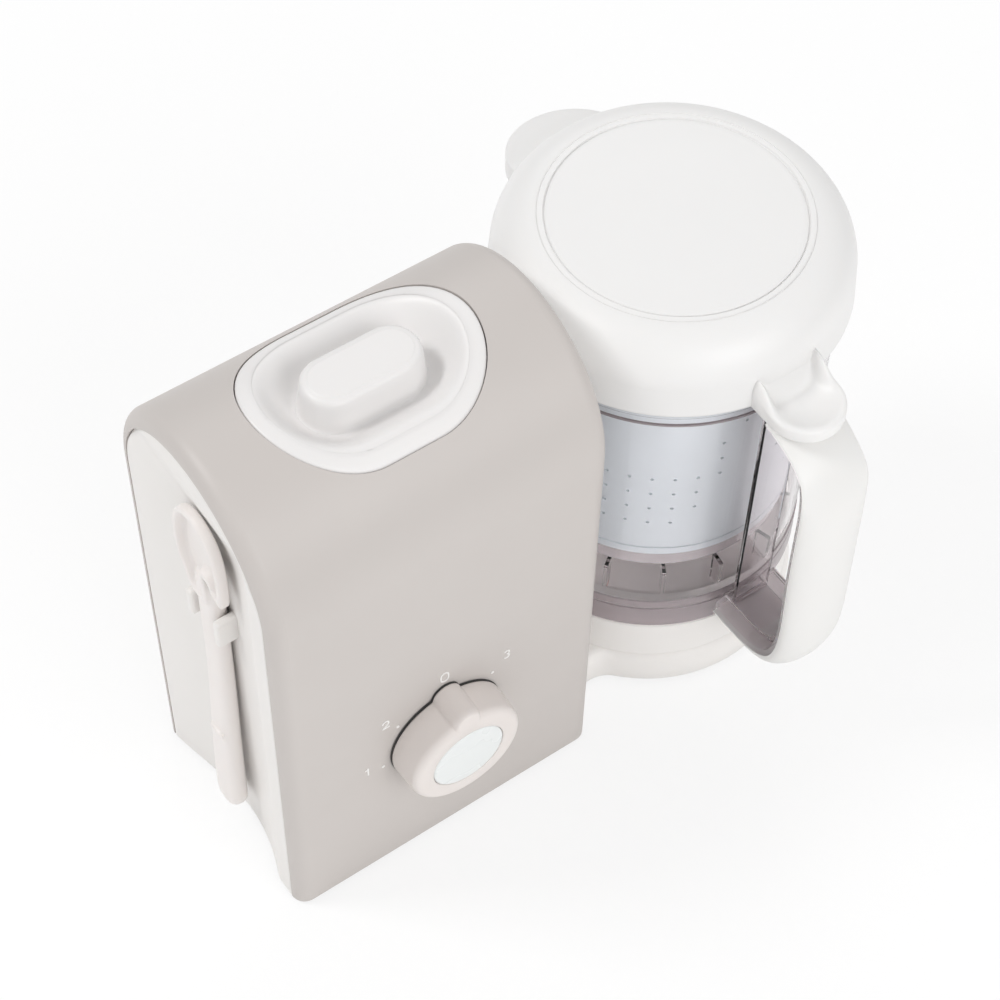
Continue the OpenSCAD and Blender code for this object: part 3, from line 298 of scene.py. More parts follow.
def skin(rings, closed=True, capFirst=False, capLast=False):
    # Quads between neighbouring rings that all have the same number of points
    count = len(rings[0])
    points = [p for ring in rings for p in ring]
    faces = []
    for i in range(len(rings) - 1):
        for j in range(count if closed else count - 1):
            k = (j + 1) % count
            faces.append((i * count + j, i * count + k, (i + 1) * count + k, (i + 1) * count + j))
    if capFirst:
        faces.append(tuple(range(count)))
    if capLast:
        faces.append(tuple((len(rings) - 1) * count + j for j in range(count)))
    return points, faces


def lathe(profile, segments=160):
    # Turn a closed profile of (radius, height) round the vertical
    turns = [2 * pi * j / segments for j in range(segments)]
    rings = [[(r * cos(a), r * sin(a), z) for a in turns] for r, z in profile]
    return skin(rings + [rings[0]])


def addModifier(obj, kind, **settings):
    modifier = obj.modifiers.new(kind.title(), kind)
    for name, value in settings.items():
        setattr(modifier, name, value)


def makePiece(name, parts, body, finish, nodes=(), crease=35):
    # One object from (points, faces) pairs, in millimetres from the jug's axis or the housing's corner
    mesh = bpy.data.meshes.new(name)
    origin = jugAxis if body in ("jug", "basket", "lid") else corner
    allPoints, allFaces = [], []
    for points, faces in parts:
        start = len(allPoints)
        allPoints += [tuple((o + v) * mm for o, v in zip(origin, p)) for p in points]
        allFaces += [tuple(start + i for i in face) for face in faces]
    mesh.from_pydata(allPoints, [], allFaces)
    work = bmesh.new()
    work.from_mesh(mesh)
    bmesh.ops.remove_doubles(work, verts=work.verts, dist=0.004 * mm)
    bmesh.ops.dissolve_degenerate(work, edges=work.edges, dist=0.002 * mm)
    bmesh.ops.recalc_face_normals(work, faces=work.faces)
    work.edges.index_update()
    borders = [e.index for e in work.edges if e.is_boundary]
    work.to_mesh(mesh)
    work.free()
    mesh.shade_smooth()
    mesh.set_sharp_from_angle(angle=radians(crease))
    for i in borders:
        mesh.edges[i].use_edge_sharp = True
    mesh.materials.append(finishes[finish])
    obj = addObject(name, mesh)
    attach(obj, body)
    if nodes:
        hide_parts(*nodes)
    return obj


# ---- left side panel: a soft recess from the bottom edge upwards, and two clip prongs ----

panel = {
    "inset": 6.35,         # from the housing's outline
    "archCentre": (52.0, 191.0),
    "archRadius": 52.0,
    "recessFront": 15.0,
    "recessWidth": 84.0,
    "recessDepth": 8.4,
    "lean": 0.8,           # below 1 the deepest line lies nearer the front
    "fullness": 1.1,
    "fadeStart": 150.0,    # height at which the recess begins to run out
    "fadeDepth": 12.0,
    "fadeRadius": 246.7,
    "fadeSoft": 2.5,
    "lip": 1.1,            # softness of the recess's border
    "lipLift": 0.31,
    "thickness": 2.4,
    "edge": 0.7,           # rounded outer edge
    "prongs": [(38.5, 42.4, 143, 157), (57.6, 61.5, 141, 155)],   # nearest, farthest, lowest, highest
    "prongEnd": -1.7,      # how far out they stand
    "prongRoot": 1.2,      # sunk into the recess
    "prongRounding": 1.3,
}


def recessDepth(y, z):
    t = min(1.0, max(0.0, (y - panel["recessFront"]) / panel["recessWidth"]))
    section = panel["recessDepth"] * max(0.0, sin(pi * t ** panel["lean"])) ** panel["fullness"]
    drop = z - panel["fadeStart"]
    fade = panel["fadeDepth"]
    if drop > 0:
        fade += sqrt(panel["fadeRadius"] ** 2 - drop ** 2) - panel["fadeRadius"]
    lip = panel["lip"]
    raw = softMin(section, fade, panel["fadeSoft"]) - lip / 2
    return (raw + sqrt(raw * raw + lip ** 2)) / 2 - lip * panel["lipLift"]


def panelGrid(columns=90, rows=46, capRows=16):
    centreY, centreZ = panel["archCentre"]
    radius = panel["archRadius"] - panel["inset"]
    lines = []
    for j in range(columns + 1):
        a = pi * j / columns
        y = centreY - radius * cos(a)
        top = radius * sin(a)
        heights = [centreZ * i / rows for i in range(rows)]
        heights += [centreZ + top * i / capRows for i in range(capRows + 1)]
        line = []
        for z in heights:
            border = min(y - centreY + radius, centreY + radius - y)
            if z > centreZ:
                border = radius - hypot(y - centreY, z - centreZ)
            rounding = quarterRound(panel["edge"], max(0.0, border))
            line.append((max(0.0, recessDepth(y, z)) + rounding, y, z))
        lines.append(line)
    return skin(lines, closed=False)


def prong(front, back, low, high, steps=5):
    # A clip prong standing out of the recess, its free end rounded
    middleY, middleZ = (front + back) / 2, (low + high) / 2
    end, radius = panel["prongEnd"], panel["prongRounding"]
    root = min(recessDepth(front, middleZ), recessDepth(back, middleZ)) + panel["prongRoot"]
    levels = [(root, 0.0)]
    levels += [(end + radius * (1 - cos(a)), radius * (1 - sin(a))) for a in spread(pi / 2, 0, steps)]
    rings = []
    for x, shrink in levels:
        rounding = max(0.05, radius - shrink)
        halfY = (back - front) / 2 - shrink - rounding
        halfZ = (high - low) / 2 - shrink - rounding
        ring = []
        for sideY, sideZ, start in ((1, 1, 0), (-1, 1, 90), (-1, -1, 180), (1, -1, 270)):
            ring += [(x, middleY + sideY * halfY + dy, middleZ + sideZ * halfZ + dz)
                     for dy, dz in arc((0, 0), rounding, start, start + 90, steps)]
        rings.append(ring)
    return skin(rings, capFirst=True, capLast=True)


leftPanel = makePiece("leftSidePanel", [panelGrid()], "base", "whitePanelPp",
                      ("left_side_panel",))
addModifier(leftPanel, "SOLIDIFY", thickness=panel["thickness"] * mm, offset=-1)
clipProngs = [prong(*place) for place in panel["prongs"]]
makePiece("clipProngs", clipProngs, "base", "whitePanelPp")
print("left panel built")


# ---- spatula: a rounded handle and a rimmed, dished head, blended in one skin ----

spatula = {
    "bottom": 15.6,
    "handleTop": 177.0,
    "widen": (25.0, 130.0),      # heights between which it goes from its low size to its neck size
    "lowSize": (15.2, 9.4),      # width and thickness near the low end, and at the neck
    "neckSize": (13.0, 7.8),
    "lowCentre": (1.0, 50.2),    # right and back
    "neckCentre": (3.1, 49.6),
    "lowEnd": 7.5,               # lengths of the rounded ends
    "topEnd": 6.5,
    "endThick": 0.35,
    "power": 2.5,                # above 2 the section is fuller than an ellipse
    "headMiddle": 0.75,          # across the head's thickness
    "headHalf": 2.35,
    "headCentre": (48.6, 188.0),
    "crowding": 1.5,             # above 1 the head's rings lie closer near its rim
    "rim": 1.5,                  # radius of the rim's edge
    "dishStart": 2.3,
    "dishRun": 2.0,
    "dishDepth": 3.3,
    "ridge": (-3.0, 48.5, 73.6),
    "ridgeHalf": (0.9, 5.0, 1.1),
    "ridgeReach": 4.9,
    "voxel": 0.45,
}


def handleRings(count=60, around=40):
    rings = []
    power = 2 / spatula["power"]
    for i in range(count + 1):
        z = mix(spatula["bottom"], spatula["handleTop"], i / count)
        low, high = spatula["widen"]
        up = min(1.0, max(0.0, (z - low) / (high - low)))
        width, thick = (mix(a, b, smoothStep(up)) for a, b in zip(spatula["lowSize"], spatula["neckSize"]))
        end = 1 - quarterRound(1.0, (z - spatula["bottom"]) / spatula["lowEnd"])
        end *= 1 - quarterRound(1.0, (spatula["handleTop"] - z) / spatula["topEnd"])
        centreX = mix(spatula["lowCentre"][0], spatula["neckCentre"][0], smoothStep(up))
        centreY = mix(spatula["lowCentre"][1], spatula["neckCentre"][1], up)
        halfX = thick / 2 * mix(spatula["endThick"], 1, end) if end > 0 else 0.0
        ring = []
        for a in [2 * pi * j / around for j in range(around)]:
            cy = abs(cos(a)) ** power * (1 if cos(a) > 0 else -1)
            cx = abs(sin(a)) ** power * (1 if sin(a) > 0 else -1)
            ring.append((centreX + cx * halfX, centreY + cy * width / 2 * end, z))
        rings.append(ring)
    return rings


def headOutline():
    # Head seen from outside, in (distance back, height): front rim, top, back rim, neck
    front = [(34.0, 173.6), (33.6, 178), (33.2, 185), (33.6, 194), (35.4, 202), (39.2, 208.2)]
    top = [(44.5, 211.4), (50, 212), (55.5, 210.6), (60, 206.8), (63.2, 200.4)]
    back = [(64.6, 192), (64.6, 183), (63.0, 175.5), (59.6, 169.5), (57.0, 163)]
    neck = [(50.8, 161), (44.6, 162.5), (45.0, 172), (46.4, 180.5), (42.6, 180), (40.2, 173.6)]
    return front + top + back + neck


def smoothLoop(points, keep, times=3):
    # Corner cutting that keeps the named corners sharp
    marks = [i in keep for i in range(len(points))]
    for _ in range(times):
        cut, cutMarks = [], []
        for i, p in enumerate(points):
            if marks[i]:
                cut.append(p)
                cutMarks.append(True)
                continue
            for other in (points[i - 1], points[(i + 1) % len(points)]):
                cut.append((mix(p[0], other[0], 0.25), mix(p[1], other[1], 0.25)))
                cutMarks.append(False)
        points, marks = cut, cutMarks
    return points


def loopDistance(p, loop):
    best = 1e9
    for i in range(len(loop)):
        ax, ay = loop[i - 1]
        dx, dy = loop[i][0] - ax, loop[i][1] - ay
        length = dx * dx + dy * dy
        t = min(1.0, max(0.0, ((p[0] - ax) * dx + (p[1] - ay) * dy) / length)) if length > 0 else 0.0
        best = min(best, hypot(p[0] - ax - t * dx, p[1] - ay - t * dy))
    return best


def headShell(rings=18):
    # Two faces that meet at the outline: the outer one dished inside its raised rim
    outline = headOutline()
    loop = smoothLoop(outline, (0, len(outline) - 1))
    centreY, centreZ = spatula["headCentre"]
    outer, inner = [], []
    for i in range(rings + 1):
        share = (i / rings) ** spatula["crowding"]
        ringOut, ringIn = [], []
        for y, z in loop:
            q = (mix(y, centreY, share), mix(z, centreZ, share))
            d = loopDistance(q, loop)
            thick = spatula["headHalf"] - quarterRound(spatula["rim"], d)
            dish = smoothStep((d - spatula["dishStart"]) / spatula["dishRun"]) * spatula["dishDepth"]
            ringOut.append((spatula["headMiddle"] - thick + dish, *q))
            ringIn.append((spatula["headMiddle"] + thick, *q))
        outer.append(ringOut)
        inner.append(ringIn)
    return skin(list(reversed(outer)) + inner)


def gripRidge():
    # Small cross ridge on the outside of the handle
    middleX, middleY, middleZ = spatula["ridge"]
    halfX, halfY, halfZ = spatula["ridgeHalf"]
    rings = []
    for y in spread(middleY - spatula["ridgeReach"], middleY + spatula["ridgeReach"], 9):
        size = sqrt(max(0.02, 1 - ((y - middleY) / halfY) ** 2))
        rings.append([(middleX + halfX * size * cos(a), y, middleZ + halfZ * size * sin(a))
                      for a in spread(0, 2 * pi, 13)[:-1]])
    return skin(rings, capFirst=True, capLast=True)


spatulaParts = [skin(handleRings(), capFirst=True, capLast=True), headShell(), gripRidge()]
spatulaPiece = makePiece("servingSpatula", spatulaParts, "spatula", "spatulaPp",
                         ("spatula",))
addModifier(spatulaPiece, "REMESH", mode="VOXEL", voxel_size=spatula["voxel"] * mm, use_smooth_shade=True)
addModifier(spatulaPiece, "SMOOTH", factor=0.5, iterations=4)
print("spatula built")


# ---- tank lid: a flange that follows the arch, a rolled dish and a flared grip ----

tankLid = {
    "centre": (71.5, 52.0),
    "flangeHalf": 11.0,    # half of the straight run
    "gripHalf": 12.0,
    "rim": 34.0,
    "flange": 29.2,
    "dishFoot": 13.4,
    "floor": 227.8,
    "roll": 0.92,          # below 1 the dish falls more steeply at first
    "archRadius": 51.9,
    "edge": [(0, 1.1), (0.15, 0.5), (0.5, 0.15), (1.1, 0), (2.6, 0), (4.2, 0), (5.8, 0)],   # (inset, drop)
    "grip": [(13.0, 227.9), (12.7, 228.2), (12.45, 229.0), (12.25, 230.6), (12.05, 233), (11.8, 236),
             (11.5, 239), (11.2, 240.6), (10.7, 241.6), (9.9, 242.15), (9.0, 242.35), (8.6, 242.38),
             (8.35, 242.6), (8.0, 242.65), (5.0, 242.75), (2.0, 242.8), (0.0, 242.8)],
    "under": [(0, 224.6), (21, 224.6), (21, 219), (23, 219), (23, 224.6), (31, 224.6), (31, 222), (34, 222)],
}


def tankLidRing(radius, height, follow):
    # One level of the lid, parallel sides with round ends; it follows the arch as far as follow says
    centreX, centreY = tankLid["centre"]
    half = tankLid["gripHalf"] if radius < tankLid["dishFoot"] else tankLid["flangeHalf"]
    ring = []
    for side in (1, -1):
        ring += [(centreX + side * (half + x), centreY + side * y)
                 for x, y in arc((0, 0), radius, -90, 90, 37)]
        ring += [(centreX + side * half * t, centreY + side * radius) for t in spread(0.9, -0.9, 10)]
    archY, archZ = panel["archCentre"]
    return [(x, y, height + follow * (archZ + sqrt(tankLid["archRadius"] ** 2 - (y - archY) ** 2)))
            for x, y in ring]


def tankLidSkin():
    rings = [tankLidRing(r, z, 0) for r, z in tankLid["under"]]
    rings += [tankLidRing(tankLid["rim"] - inset, -drop, 1) for inset, drop in tankLid["edge"]]
    for t in spread(0, 1, 17):
        fall = smoothStep(t) ** tankLid["roll"]
        radius = mix(tankLid["flange"], tankLid["dishFoot"], t)
        rings.append(tankLidRing(radius, tankLid["floor"] * fall, 1 - fall))
    rings += [tankLidRing(r, z, 0) for r, z in tankLid["grip"]]
    return skin(rings)


makePiece("tankLid", [tankLidSkin()], "tank_cap", "tankCapAbs", ("tank_lid",), crease=50)
print("tank lid built")


# ---- control knob: a round body with one pointing lug, and a polished disc in its face ----

knob = {
    "centre": (70.2, 74.8),
    "radius": 25.2,
    "lugReach": 24.0,
    "lugRadius": 6.2,
    "lugTaper": 0.4,       # how much slimmer it gets for each millimetre of inset
    "lugBlend": 1.4,
    "sides": [(0.9, 0.7), (1.1, 0.2), (1.6, 0.0), (6.0, 0.2), (13.1, 0.6)],   # (out of the panel, inset)
    "rounding": 3.4,
    # A dark ring behind the knob is a painted shadow of the gap between knob and panel
    "shadowRing": [(0.3, 1.5), (0.3, -0.1), (0.95, -0.1)],   # (out of the panel, inset)
    "face": [(16.45, 16.5), (16.25, 16.4), (16.15, 16.0), (16.15, 15.0), (0.0, 15.0)],   # (radius, out)
    "disc": [(0.0, 16.75), (8.0, 16.72), (14.5, 16.62), (15.4, 16.5), (15.85, 16.2), (15.95, 15.8),
             (15.95, 15.1), (0.0, 15.1)],
}


def knobRadius(angle, inset):
    # Outline of the body from its centre, the angle taken from straight up
    sideways = knob["lugReach"] * sin(angle)
    lugRadius = knob["lugRadius"] - knob["lugTaper"] * inset
    reach = 0.0
    if abs(sideways) < lugRadius and cos(angle) > 0:
        reach = knob["lugReach"] * cos(angle) + sqrt(lugRadius ** 2 - sideways ** 2)
    return softMax(knob["radius"] - inset, reach, knob["lugBlend"])


knobAngles = [radians(a) for a in (*range(-24, 25), *range(28, 333, 4))]


def knobRing(out, radius=None, inset=0.0):
    centreX, centreZ = knob["centre"]
    radii = [knobRadius(a, inset) if radius is None else radius for a in knobAngles]
    return [(centreX + r * sin(a), -out, centreZ + r * cos(a)) for r, a in zip(radii, knobAngles)]


def knobSkin():
    rings = [knobRing(out, inset=inset) for out, inset in knob["sides"]]
    lastOut, lastInset = knob["sides"][-1]
    for a in spread(0, pi / 2, 8)[1:]:
        rings.append(knobRing(lastOut + knob["rounding"] * sin(a),
                              inset=lastInset + knob["rounding"] * (1 - cos(a))))
    rings += [knobRing(out, radius=r) for r, out in knob["face"]]
    return skin(rings, capFirst=True)


# The dark rubber ring behind the knob paints the shadow in the gap to the panel
shadowRingSkin = skin([knobRing(out, inset=inset) for out, inset in knob["shadowRing"]], capFirst=True, capLast=True)
discSkin = skin([knobRing(out, radius=r) for r, out in knob["disc"]])
makePiece("knobShadowRing", [shadowRingSkin], "dial", "darkRubber")
makePiece("controlKnob", [knobSkin()], "dial", "knobAbs", ("control_knob",), crease=50)
makePiece("knobDisc", [discSkin], "dial", "discAbs", ("knob_disc",), crease=50)
print("knob built")


# ---- lid of the jug: a turned cap with a hood towards the back, a set-in disc and a thumb paddle ----

lid = {
    "edgeZ": 189.3,
    "wallLow": 70.3,
    "wallHigh": 69.3,
    "shoulderZ": 202.3,
    "shoulderIn": 49.8,
    "shoulderRadius": 19.5,
    "hoodCentre": 66.0,
    "hoodRadius": 25.0,
    "hoodZ": 196.0,        # height of the hood's tip
    "hoodRise": 7.0,       # how far it climbs to the lid's wall
    "hoodRun": 27.0,       # and how far that is along the hood
    "hoodSoft": (4, 5),    # softness of its edge, and of where it meets the wall
    "thickness": 2.2,
    "edge": [(0.0, 0.6), (0.15, 0.25), (0.5, 0.0)],   # (above the edge, inset)
    # (radius, below the top)
    "groove": [(49.9, 0.06), (49.7, 0.25), (49.6, 0.6), (49.4, 0.75), (45.0, 0.8)],
    "disc": [(0, 221.95), (30, 221.95), (47.0, 221.9), (48.4, 221.8), (48.9, 221.6), (49.1, 221.25),
             (49.15, 220.9), (0, 220.9)],
}


def lidRadius(z, angle):
    # Outside of the lid at a height, the angle taken from straight back
    above = z - lid["shoulderZ"]
    if above <= 0:
        share = (z - lid["edgeZ"]) / (lid["shoulderZ"] - lid["edgeZ"])
        wall = mix(lid["wallLow"], lid["wallHigh"], share)
    else:
        wall = lid["shoulderIn"] + sqrt(max(0.0, lid["shoulderRadius"] ** 2 - above ** 2))
    centre, radius = lid["hoodCentre"], lid["hoodRadius"]
    sideways = centre * sin(angle)
    if abs(sideways) >= radius or cos(angle) < 0:
        return wall
    hood = centre * cos(angle) + sqrt(radius ** 2 - sideways ** 2)
    slope = centre + radius + 1 - (z - lid["hoodZ"]) * lid["hoodRun"] / lid["hoodRise"]
    edgeSoft, wallSoft = lid["hoodSoft"]
    return softMax(wall, softMin(hood, slope, edgeSoft), wallSoft)


def lidSkin():
    shoulder, radius = lid["shoulderZ"], lid["shoulderRadius"]
    levels = [(lid["edgeZ"] + z, inset) for z, inset in lid["edge"]]
    levels += [(z, 0) for z in spread(190.5, 194.8, 5) + spread(195.1, 203.2, 34)]
    levels += [(shoulder + radius * sin(radians(a)), 0) for a in spread(4, 90, 22)]
    angles = [radians(a) for a in (*range(-26, 27), *range(29, 334, 3))]
    radii = [([lidRadius(z, a) - inset for a in angles], z) for z, inset in levels]
    radii += [([r] * len(angles), shoulder + radius - drop) for r, drop in lid["groove"]]
    return skin([[(r * sin(a), r * cos(a), z) for r, a in zip(ring, angles)] for ring, z in radii])


lidCap = makePiece("lidCap", [lidSkin()], "lid", "whiteLidPp", ("lid_shell",), crease=50)
addModifier(lidCap, "SOLIDIFY", thickness=lid["thickness"] * mm, offset=-1)
makePiece("lidDisc", [lathe(lid["disc"])], "lid", "whiteLidPp", ("lid_top_disc",))

paddle = {
    "half": 15.3,
    "start": 68.2,         # where it leaves the lid's wall
    "centre": 80.5,        # of its round end
    "rimZ": 194.5,
    "underZ": 188.6,
    "underRounding": 1.2,
    "dishHalf": 12.6,
    "dishDepth": 4.2,
    "dishSoft": 1.0,
    "dishEnd": (75.5, 6.0),    # reach at which it begins to run out towards the lid, and over what length
    "hornHeight": 8.5,
    "hornPlace": 13.3,
    "hornWidth": 2.3,
    "hornEnd": (82.0, 13.0),   # reach at which the horns begin, and over what length they rise
    "hornBlend": 2.0,
    "fillet": 6.0,
    "edge": 1.5,
}


def paddleTop(x, reach, edge):
    side = hypot(x, max(0.0, reach - paddle["centre"]))
    depth, half = paddle["dishDepth"], paddle["dishHalf"]
    bowl = (half * half + depth * depth) / (2 * depth)
    dish = softMax(depth - bowl + sqrt(max(0.0, bowl * bowl - side * side)), 0.0, paddle["dishSoft"])
    start, length = paddle["dishEnd"]
    dish *= 1 - smoothStep((start - reach) / length)
    start, length = paddle["hornEnd"]
    across = (abs(x) - paddle["hornPlace"]) / paddle["hornWidth"]
    horn = paddle["hornHeight"] * smoothStep((start - reach) / length) * exp(-across ** 2)
    climb = quarterRound(paddle["fillet"], hypot(x, reach) - lid["wallHigh"])
    rise = softMax(horn, climb, paddle["hornBlend"])
    return paddle["rimZ"] - dish + rise - quarterRound(paddle["edge"], edge)


def paddleOutline(edge):
    half, centre = paddle["half"] - edge, paddle["centre"]
    side = [(half, r) for r in spread(sqrt(paddle["start"] ** 2 - half * half), centre, 18)]
    return side + arc((0, centre), half, 0, 180, 41)[1:-1] + [(-x, r) for x, r in reversed(side)]


def paddleSkin():
    middle = paddle["half"] - 0.01
    edges = [0, 0.1, 0.3, 0.6, 1.0, 1.5, 2.1, 2.8, 3.5] + spread(4.3, middle, 13)
    rings = [[(x, -r, paddle["underZ"]) for x, r in paddleOutline(edge)] for edge in (middle, 8)]
    for edge in reversed(edges[:8]):
        low = paddle["underZ"] + quarterRound(paddle["underRounding"], edge)
        rings.append([(x, -r, low) for x, r in paddleOutline(edge)])
    for edge in edges:
        rings.append([(x, -r, paddleTop(x, r, edge)) for x, r in paddleOutline(edge)])
    return skin(rings, closed=False)


makePiece("thumbPaddle", [paddleSkin()], "lid", "whiteLidPp", crease=60)
print("lid built")


# ---- handle: a white cover over a clear loop, with a clear floor and an inner wall ----

handle = {
    "half": 16.0,
    # matching points (reach, height) of the cover's inner edge and its outer middle, from the lid downwards
    "inner": [(76, 185.9), (83, 184.2), (89.6, 181.6), (95.3, 177.9), (99.5, 173.4), (102.3, 167),
              (103.2, 158), (103.2, 137), (103.3, 116), (103.9, 96), (103.9, 80), (102.6, 69), (99.6, 60.8),
              (94, 55.6), (86.6, 53), (76, 52.1), (66, 52)],
    "outer": [(76, 188), (84, 186.6), (90.8, 183.6), (97.2, 179), (102.4, 172.8), (106.4, 164.8),
              (108.8, 155.5), (110.3, 137), (111, 116), (111, 96), (111, 79), (109.7, 66), (105.6, 55),
              (98, 47.4), (88, 44.6), (76, 44.4), (66, 44.6)],
    "narrowing": 1.8,      # how much slimmer it is under the lid
    "narrowFrom": 163.0,
    "narrowRun": 16.0,
    "linerHalf": 15.3,
    "linerDepth": 2.4,
    "linerLap": 0.25,      # sunk into the cover
    "railInner": 9.2,
    "railHeight": 6.0,
    "railTop": 62.0,       # the rails stay below this height
    "railLap": 0.1,
    "floorLine": [(63.5, 52.6), (80, 52.6), (93, 53.0)],
    "floorThick": 2.4,
    "wallLine": [(70.2, 54.9), (70.8, 120), (71.2, 184.5)],
    "wallThick": 2.2,
    "wallHalf": 9.0,
}


def throughPoints(points, perSpan=6):
    # Smooth curve through a few points
    curve = []
    for i in range(len(points) - 1):
        around = [points[min(len(points) - 1, max(0, k))] for k in range(i - 1, i + 3)]
        for t in [k / perSpan for k in range(perSpan)]:
            curve.append(tuple(
                0.5 * (2 * b + (c - a) * t + (2 * a - 5 * b + 4 * c - d) * t * t
                       + (3 * b - a - 3 * c + d) * t ** 3) for a, b, c, d in zip(*around)))
    return curve + [tuple(points[-1])]


innerLine = throughPoints(handle["inner"])
outerLine = throughPoints(handle["outer"])


def slimming(z):
    return handle["narrowing"] * smoothStep((z - handle["narrowFrom"]) / handle["narrowRun"])


def coverSkin():
    rings = []
    for inner, outer in zip(innerLine, outerLine):
        half = handle["half"] - slimming(inner[1])
        ring = []
        for a in spread(0, pi, 33):
            reach, z = (mix(start, end, max(0.0, sin(a))) for start, end in zip(inner, outer))
            ring.append((half * cos(a), -reach, z))
        ring += [(x * half, -inner[0], inner[1]) for x in (-0.95, -0.5, 0, 0.5, 0.95)]
        rings.append(ring)
    return skin(rings, capFirst=True, capLast=True)


def inwardLine(line, depth):
    # The same line moved towards the handle's opening
    moved = []
    for i, (reach, z) in enumerate(line):
        ahead, behind = line[min(len(line) - 1, i + 1)], line[max(0, i - 1)]
        dx, dz = ahead[0] - behind[0], ahead[1] - behind[1]
        length = hypot(dx, dz)
        moved.append((reach + dz / length * depth, z - dx / length * depth))
    return moved


def bandSkin(outside, inside, low, high, rounding=0.5, slims=False):
    # A strip between two lines, from one side to the other, its four edges slightly rounded
    rings = []
    for (r0, z0), (r1, z1) in zip(outside, inside):
        slimmer = slimming(z0) if slims else 0.0
        left, right = low + slimmer, high - slimmer
        share = min(rounding / max(0.01, hypot(r1 - r0, z1 - z0)), 0.4)
        spots = [(left, share), (left + rounding, 0), (right - rounding, 0), (right, share),
                 (right, 1 - share), (right - rounding, 1), (left + rounding, 1), (left, 1 - share)]
        rings.append([(x, -mix(r0, r1, t), mix(z0, z1, t)) for x, t in spots])
    return skin(rings, capFirst=True, capLast=True)


def linerParts():
    half, depth, railInner = handle["linerHalf"], handle["linerDepth"], handle["railInner"]
    parts = [bandSkin(inwardLine(innerLine, -handle["linerLap"]), inwardLine(innerLine, depth), -half, half,
                      slims=True)]
    lowLine = [p for p in innerLine if p[1] < handle["railTop"]]
    railFoot = inwardLine(lowLine, depth - handle["railLap"])
    railHead = inwardLine(lowLine, handle["railHeight"])
    parts += [bandSkin(railFoot, railHead, -half, -railInner), bandSkin(railFoot, railHead, railInner, half)]
    floorTop = [(r, z + handle["floorThick"]) for r, z in handle["floorLine"]]
    parts.append(bandSkin(handle["floorLine"], floorTop, -railInner, railInner))
    wallBack = [(r - handle["wallThick"], z) for r, z in handle["wallLine"]]
    parts.append(bandSkin(handle["wallLine"], wallBack, -handle["wallHalf"], handle["wallHalf"], 0.6))
    return parts


makePiece("handleCover", [coverSkin()], "jug", "whiteCapAbs", ("handle_cover",), crease=60)
makePiece("handleLiner", linerParts(), "jug", "clearLoop", ("handle_liner",), crease=40)
print("handle built")


# ---- base: one soft-edged moulding from under the housing to the round plate of the jug ----

base = {
    "left": 3.0,
    "right": 140.1,
    "front": 3.0,
    "back": 101.0,
    "cornerRadius": 3.6,
    "bridgeHalf": 40.0,
    "blend": 13.0,         # concave blend between bridge and plate
    "plateRadius": 64.4,
    "top": 17.4,
    "rounding": 5.0,
    "recessZ": 4.0,        # height at which the panel's recess shapes the left side
    "openRadius": 60.5,    # of the opening under the jug's seat
    "deck": (8.0, 10.0),   # how far it reaches under the housing, and past the opening's edge
    "deckZ": (2.4, 0.02),  # its two faces, below the top
    # (height, inset) from inside the wall round its lower edge
    "foot": [(14.4, 2.6), (3.2, 2.6), (0.4, 2.6), (0.0, 2.2), (0.0, 0.9), (0.25, 0.3), (0.9, 0.0)],
}


def baseOutline(inset):
    # Points round the moulding, in (right, back), anticlockwise from the front left corner
    plate, half, blend = base["plateRadius"] - inset, base["bridgeHalf"] - inset, base["blend"] + inset
    left, right = base["left"] + inset, base["right"] - inset
    front, back = base["front"] + inset, base["back"] - inset
    r = max(0.3, base["cornerRadius"] - inset)
    blendX = seatX - sqrt((plate + blend) ** 2 - (half + blend) ** 2)
    blendAngle = degrees(atan2(half + blend, blendX - seatX))
    points = arc((left + r, front + r), r, 180, 270, 5) + arc((right - r, front + r), r, 270, 360, 5)
    points += [(right, seatY - half)]
    points += arc((blendX, seatY - half - blend), blend, 90, 180 - blendAngle, 8)
    points += arc((seatX, seatY), plate, -blendAngle, blendAngle, 73)
    points += arc((blendX, seatY + half + blend), blend, blendAngle - 180, -90, 8)
    points += [(right, seatY + half)]
    points += arc((right - r, back - r), r, 0, 90, 5) + arc((left + r, back - r), r, 90, 180, 5)
    for y in spread(back - r - 1, front + r + 1, 24):
        points.append((max(left, recessDepth(y, base["recessZ"]) + left), y))
    return points


def baseSkin():
    top, rounding = base["top"], base["rounding"]
    levels = base["foot"] + [(top - rounding + rounding * sin(a), rounding * (1 - cos(a)))
                             for a in spread(0, pi / 2, 8)]
    rings = [[(x, y, z) for x, y in baseOutline(inset)] for z, inset in levels]
    inner = []
    for x, y, z in rings[-1]:
        dx, dy = x - seatX, y - seatY
        share = base["openRadius"] / hypot(dx, dy) if x > base["right"] + 1 else 1.0
        inner.append((seatX + dx * share, seatY + dy * share, z))
    return skin(rings + [inner])


def bridgeDeck():
    # Closes the top between the housing and the jug's seat
    half = base["bridgeHalf"] - base["rounding"]
    left = base["right"] - base["deck"][0]
    right = seatX - base["openRadius"] + base["deck"][1]
    outline = [(left, seatY - half), (right, seatY - half), (right, seatY + half), (left, seatY + half)]
    rings = [[(x, y, base["top"] - drop) for x, y in outline] for drop in base["deckZ"]]
    return skin(rings, capFirst=True, capLast=True)


makePiece("baseMoulding", [baseSkin(), bridgeDeck()], "base", "basePp", ("base_tray",),
          crease=50)
print("base built")


# ---- steam basket: a bowl with bands of small steam holes, on a thin foot ring ----

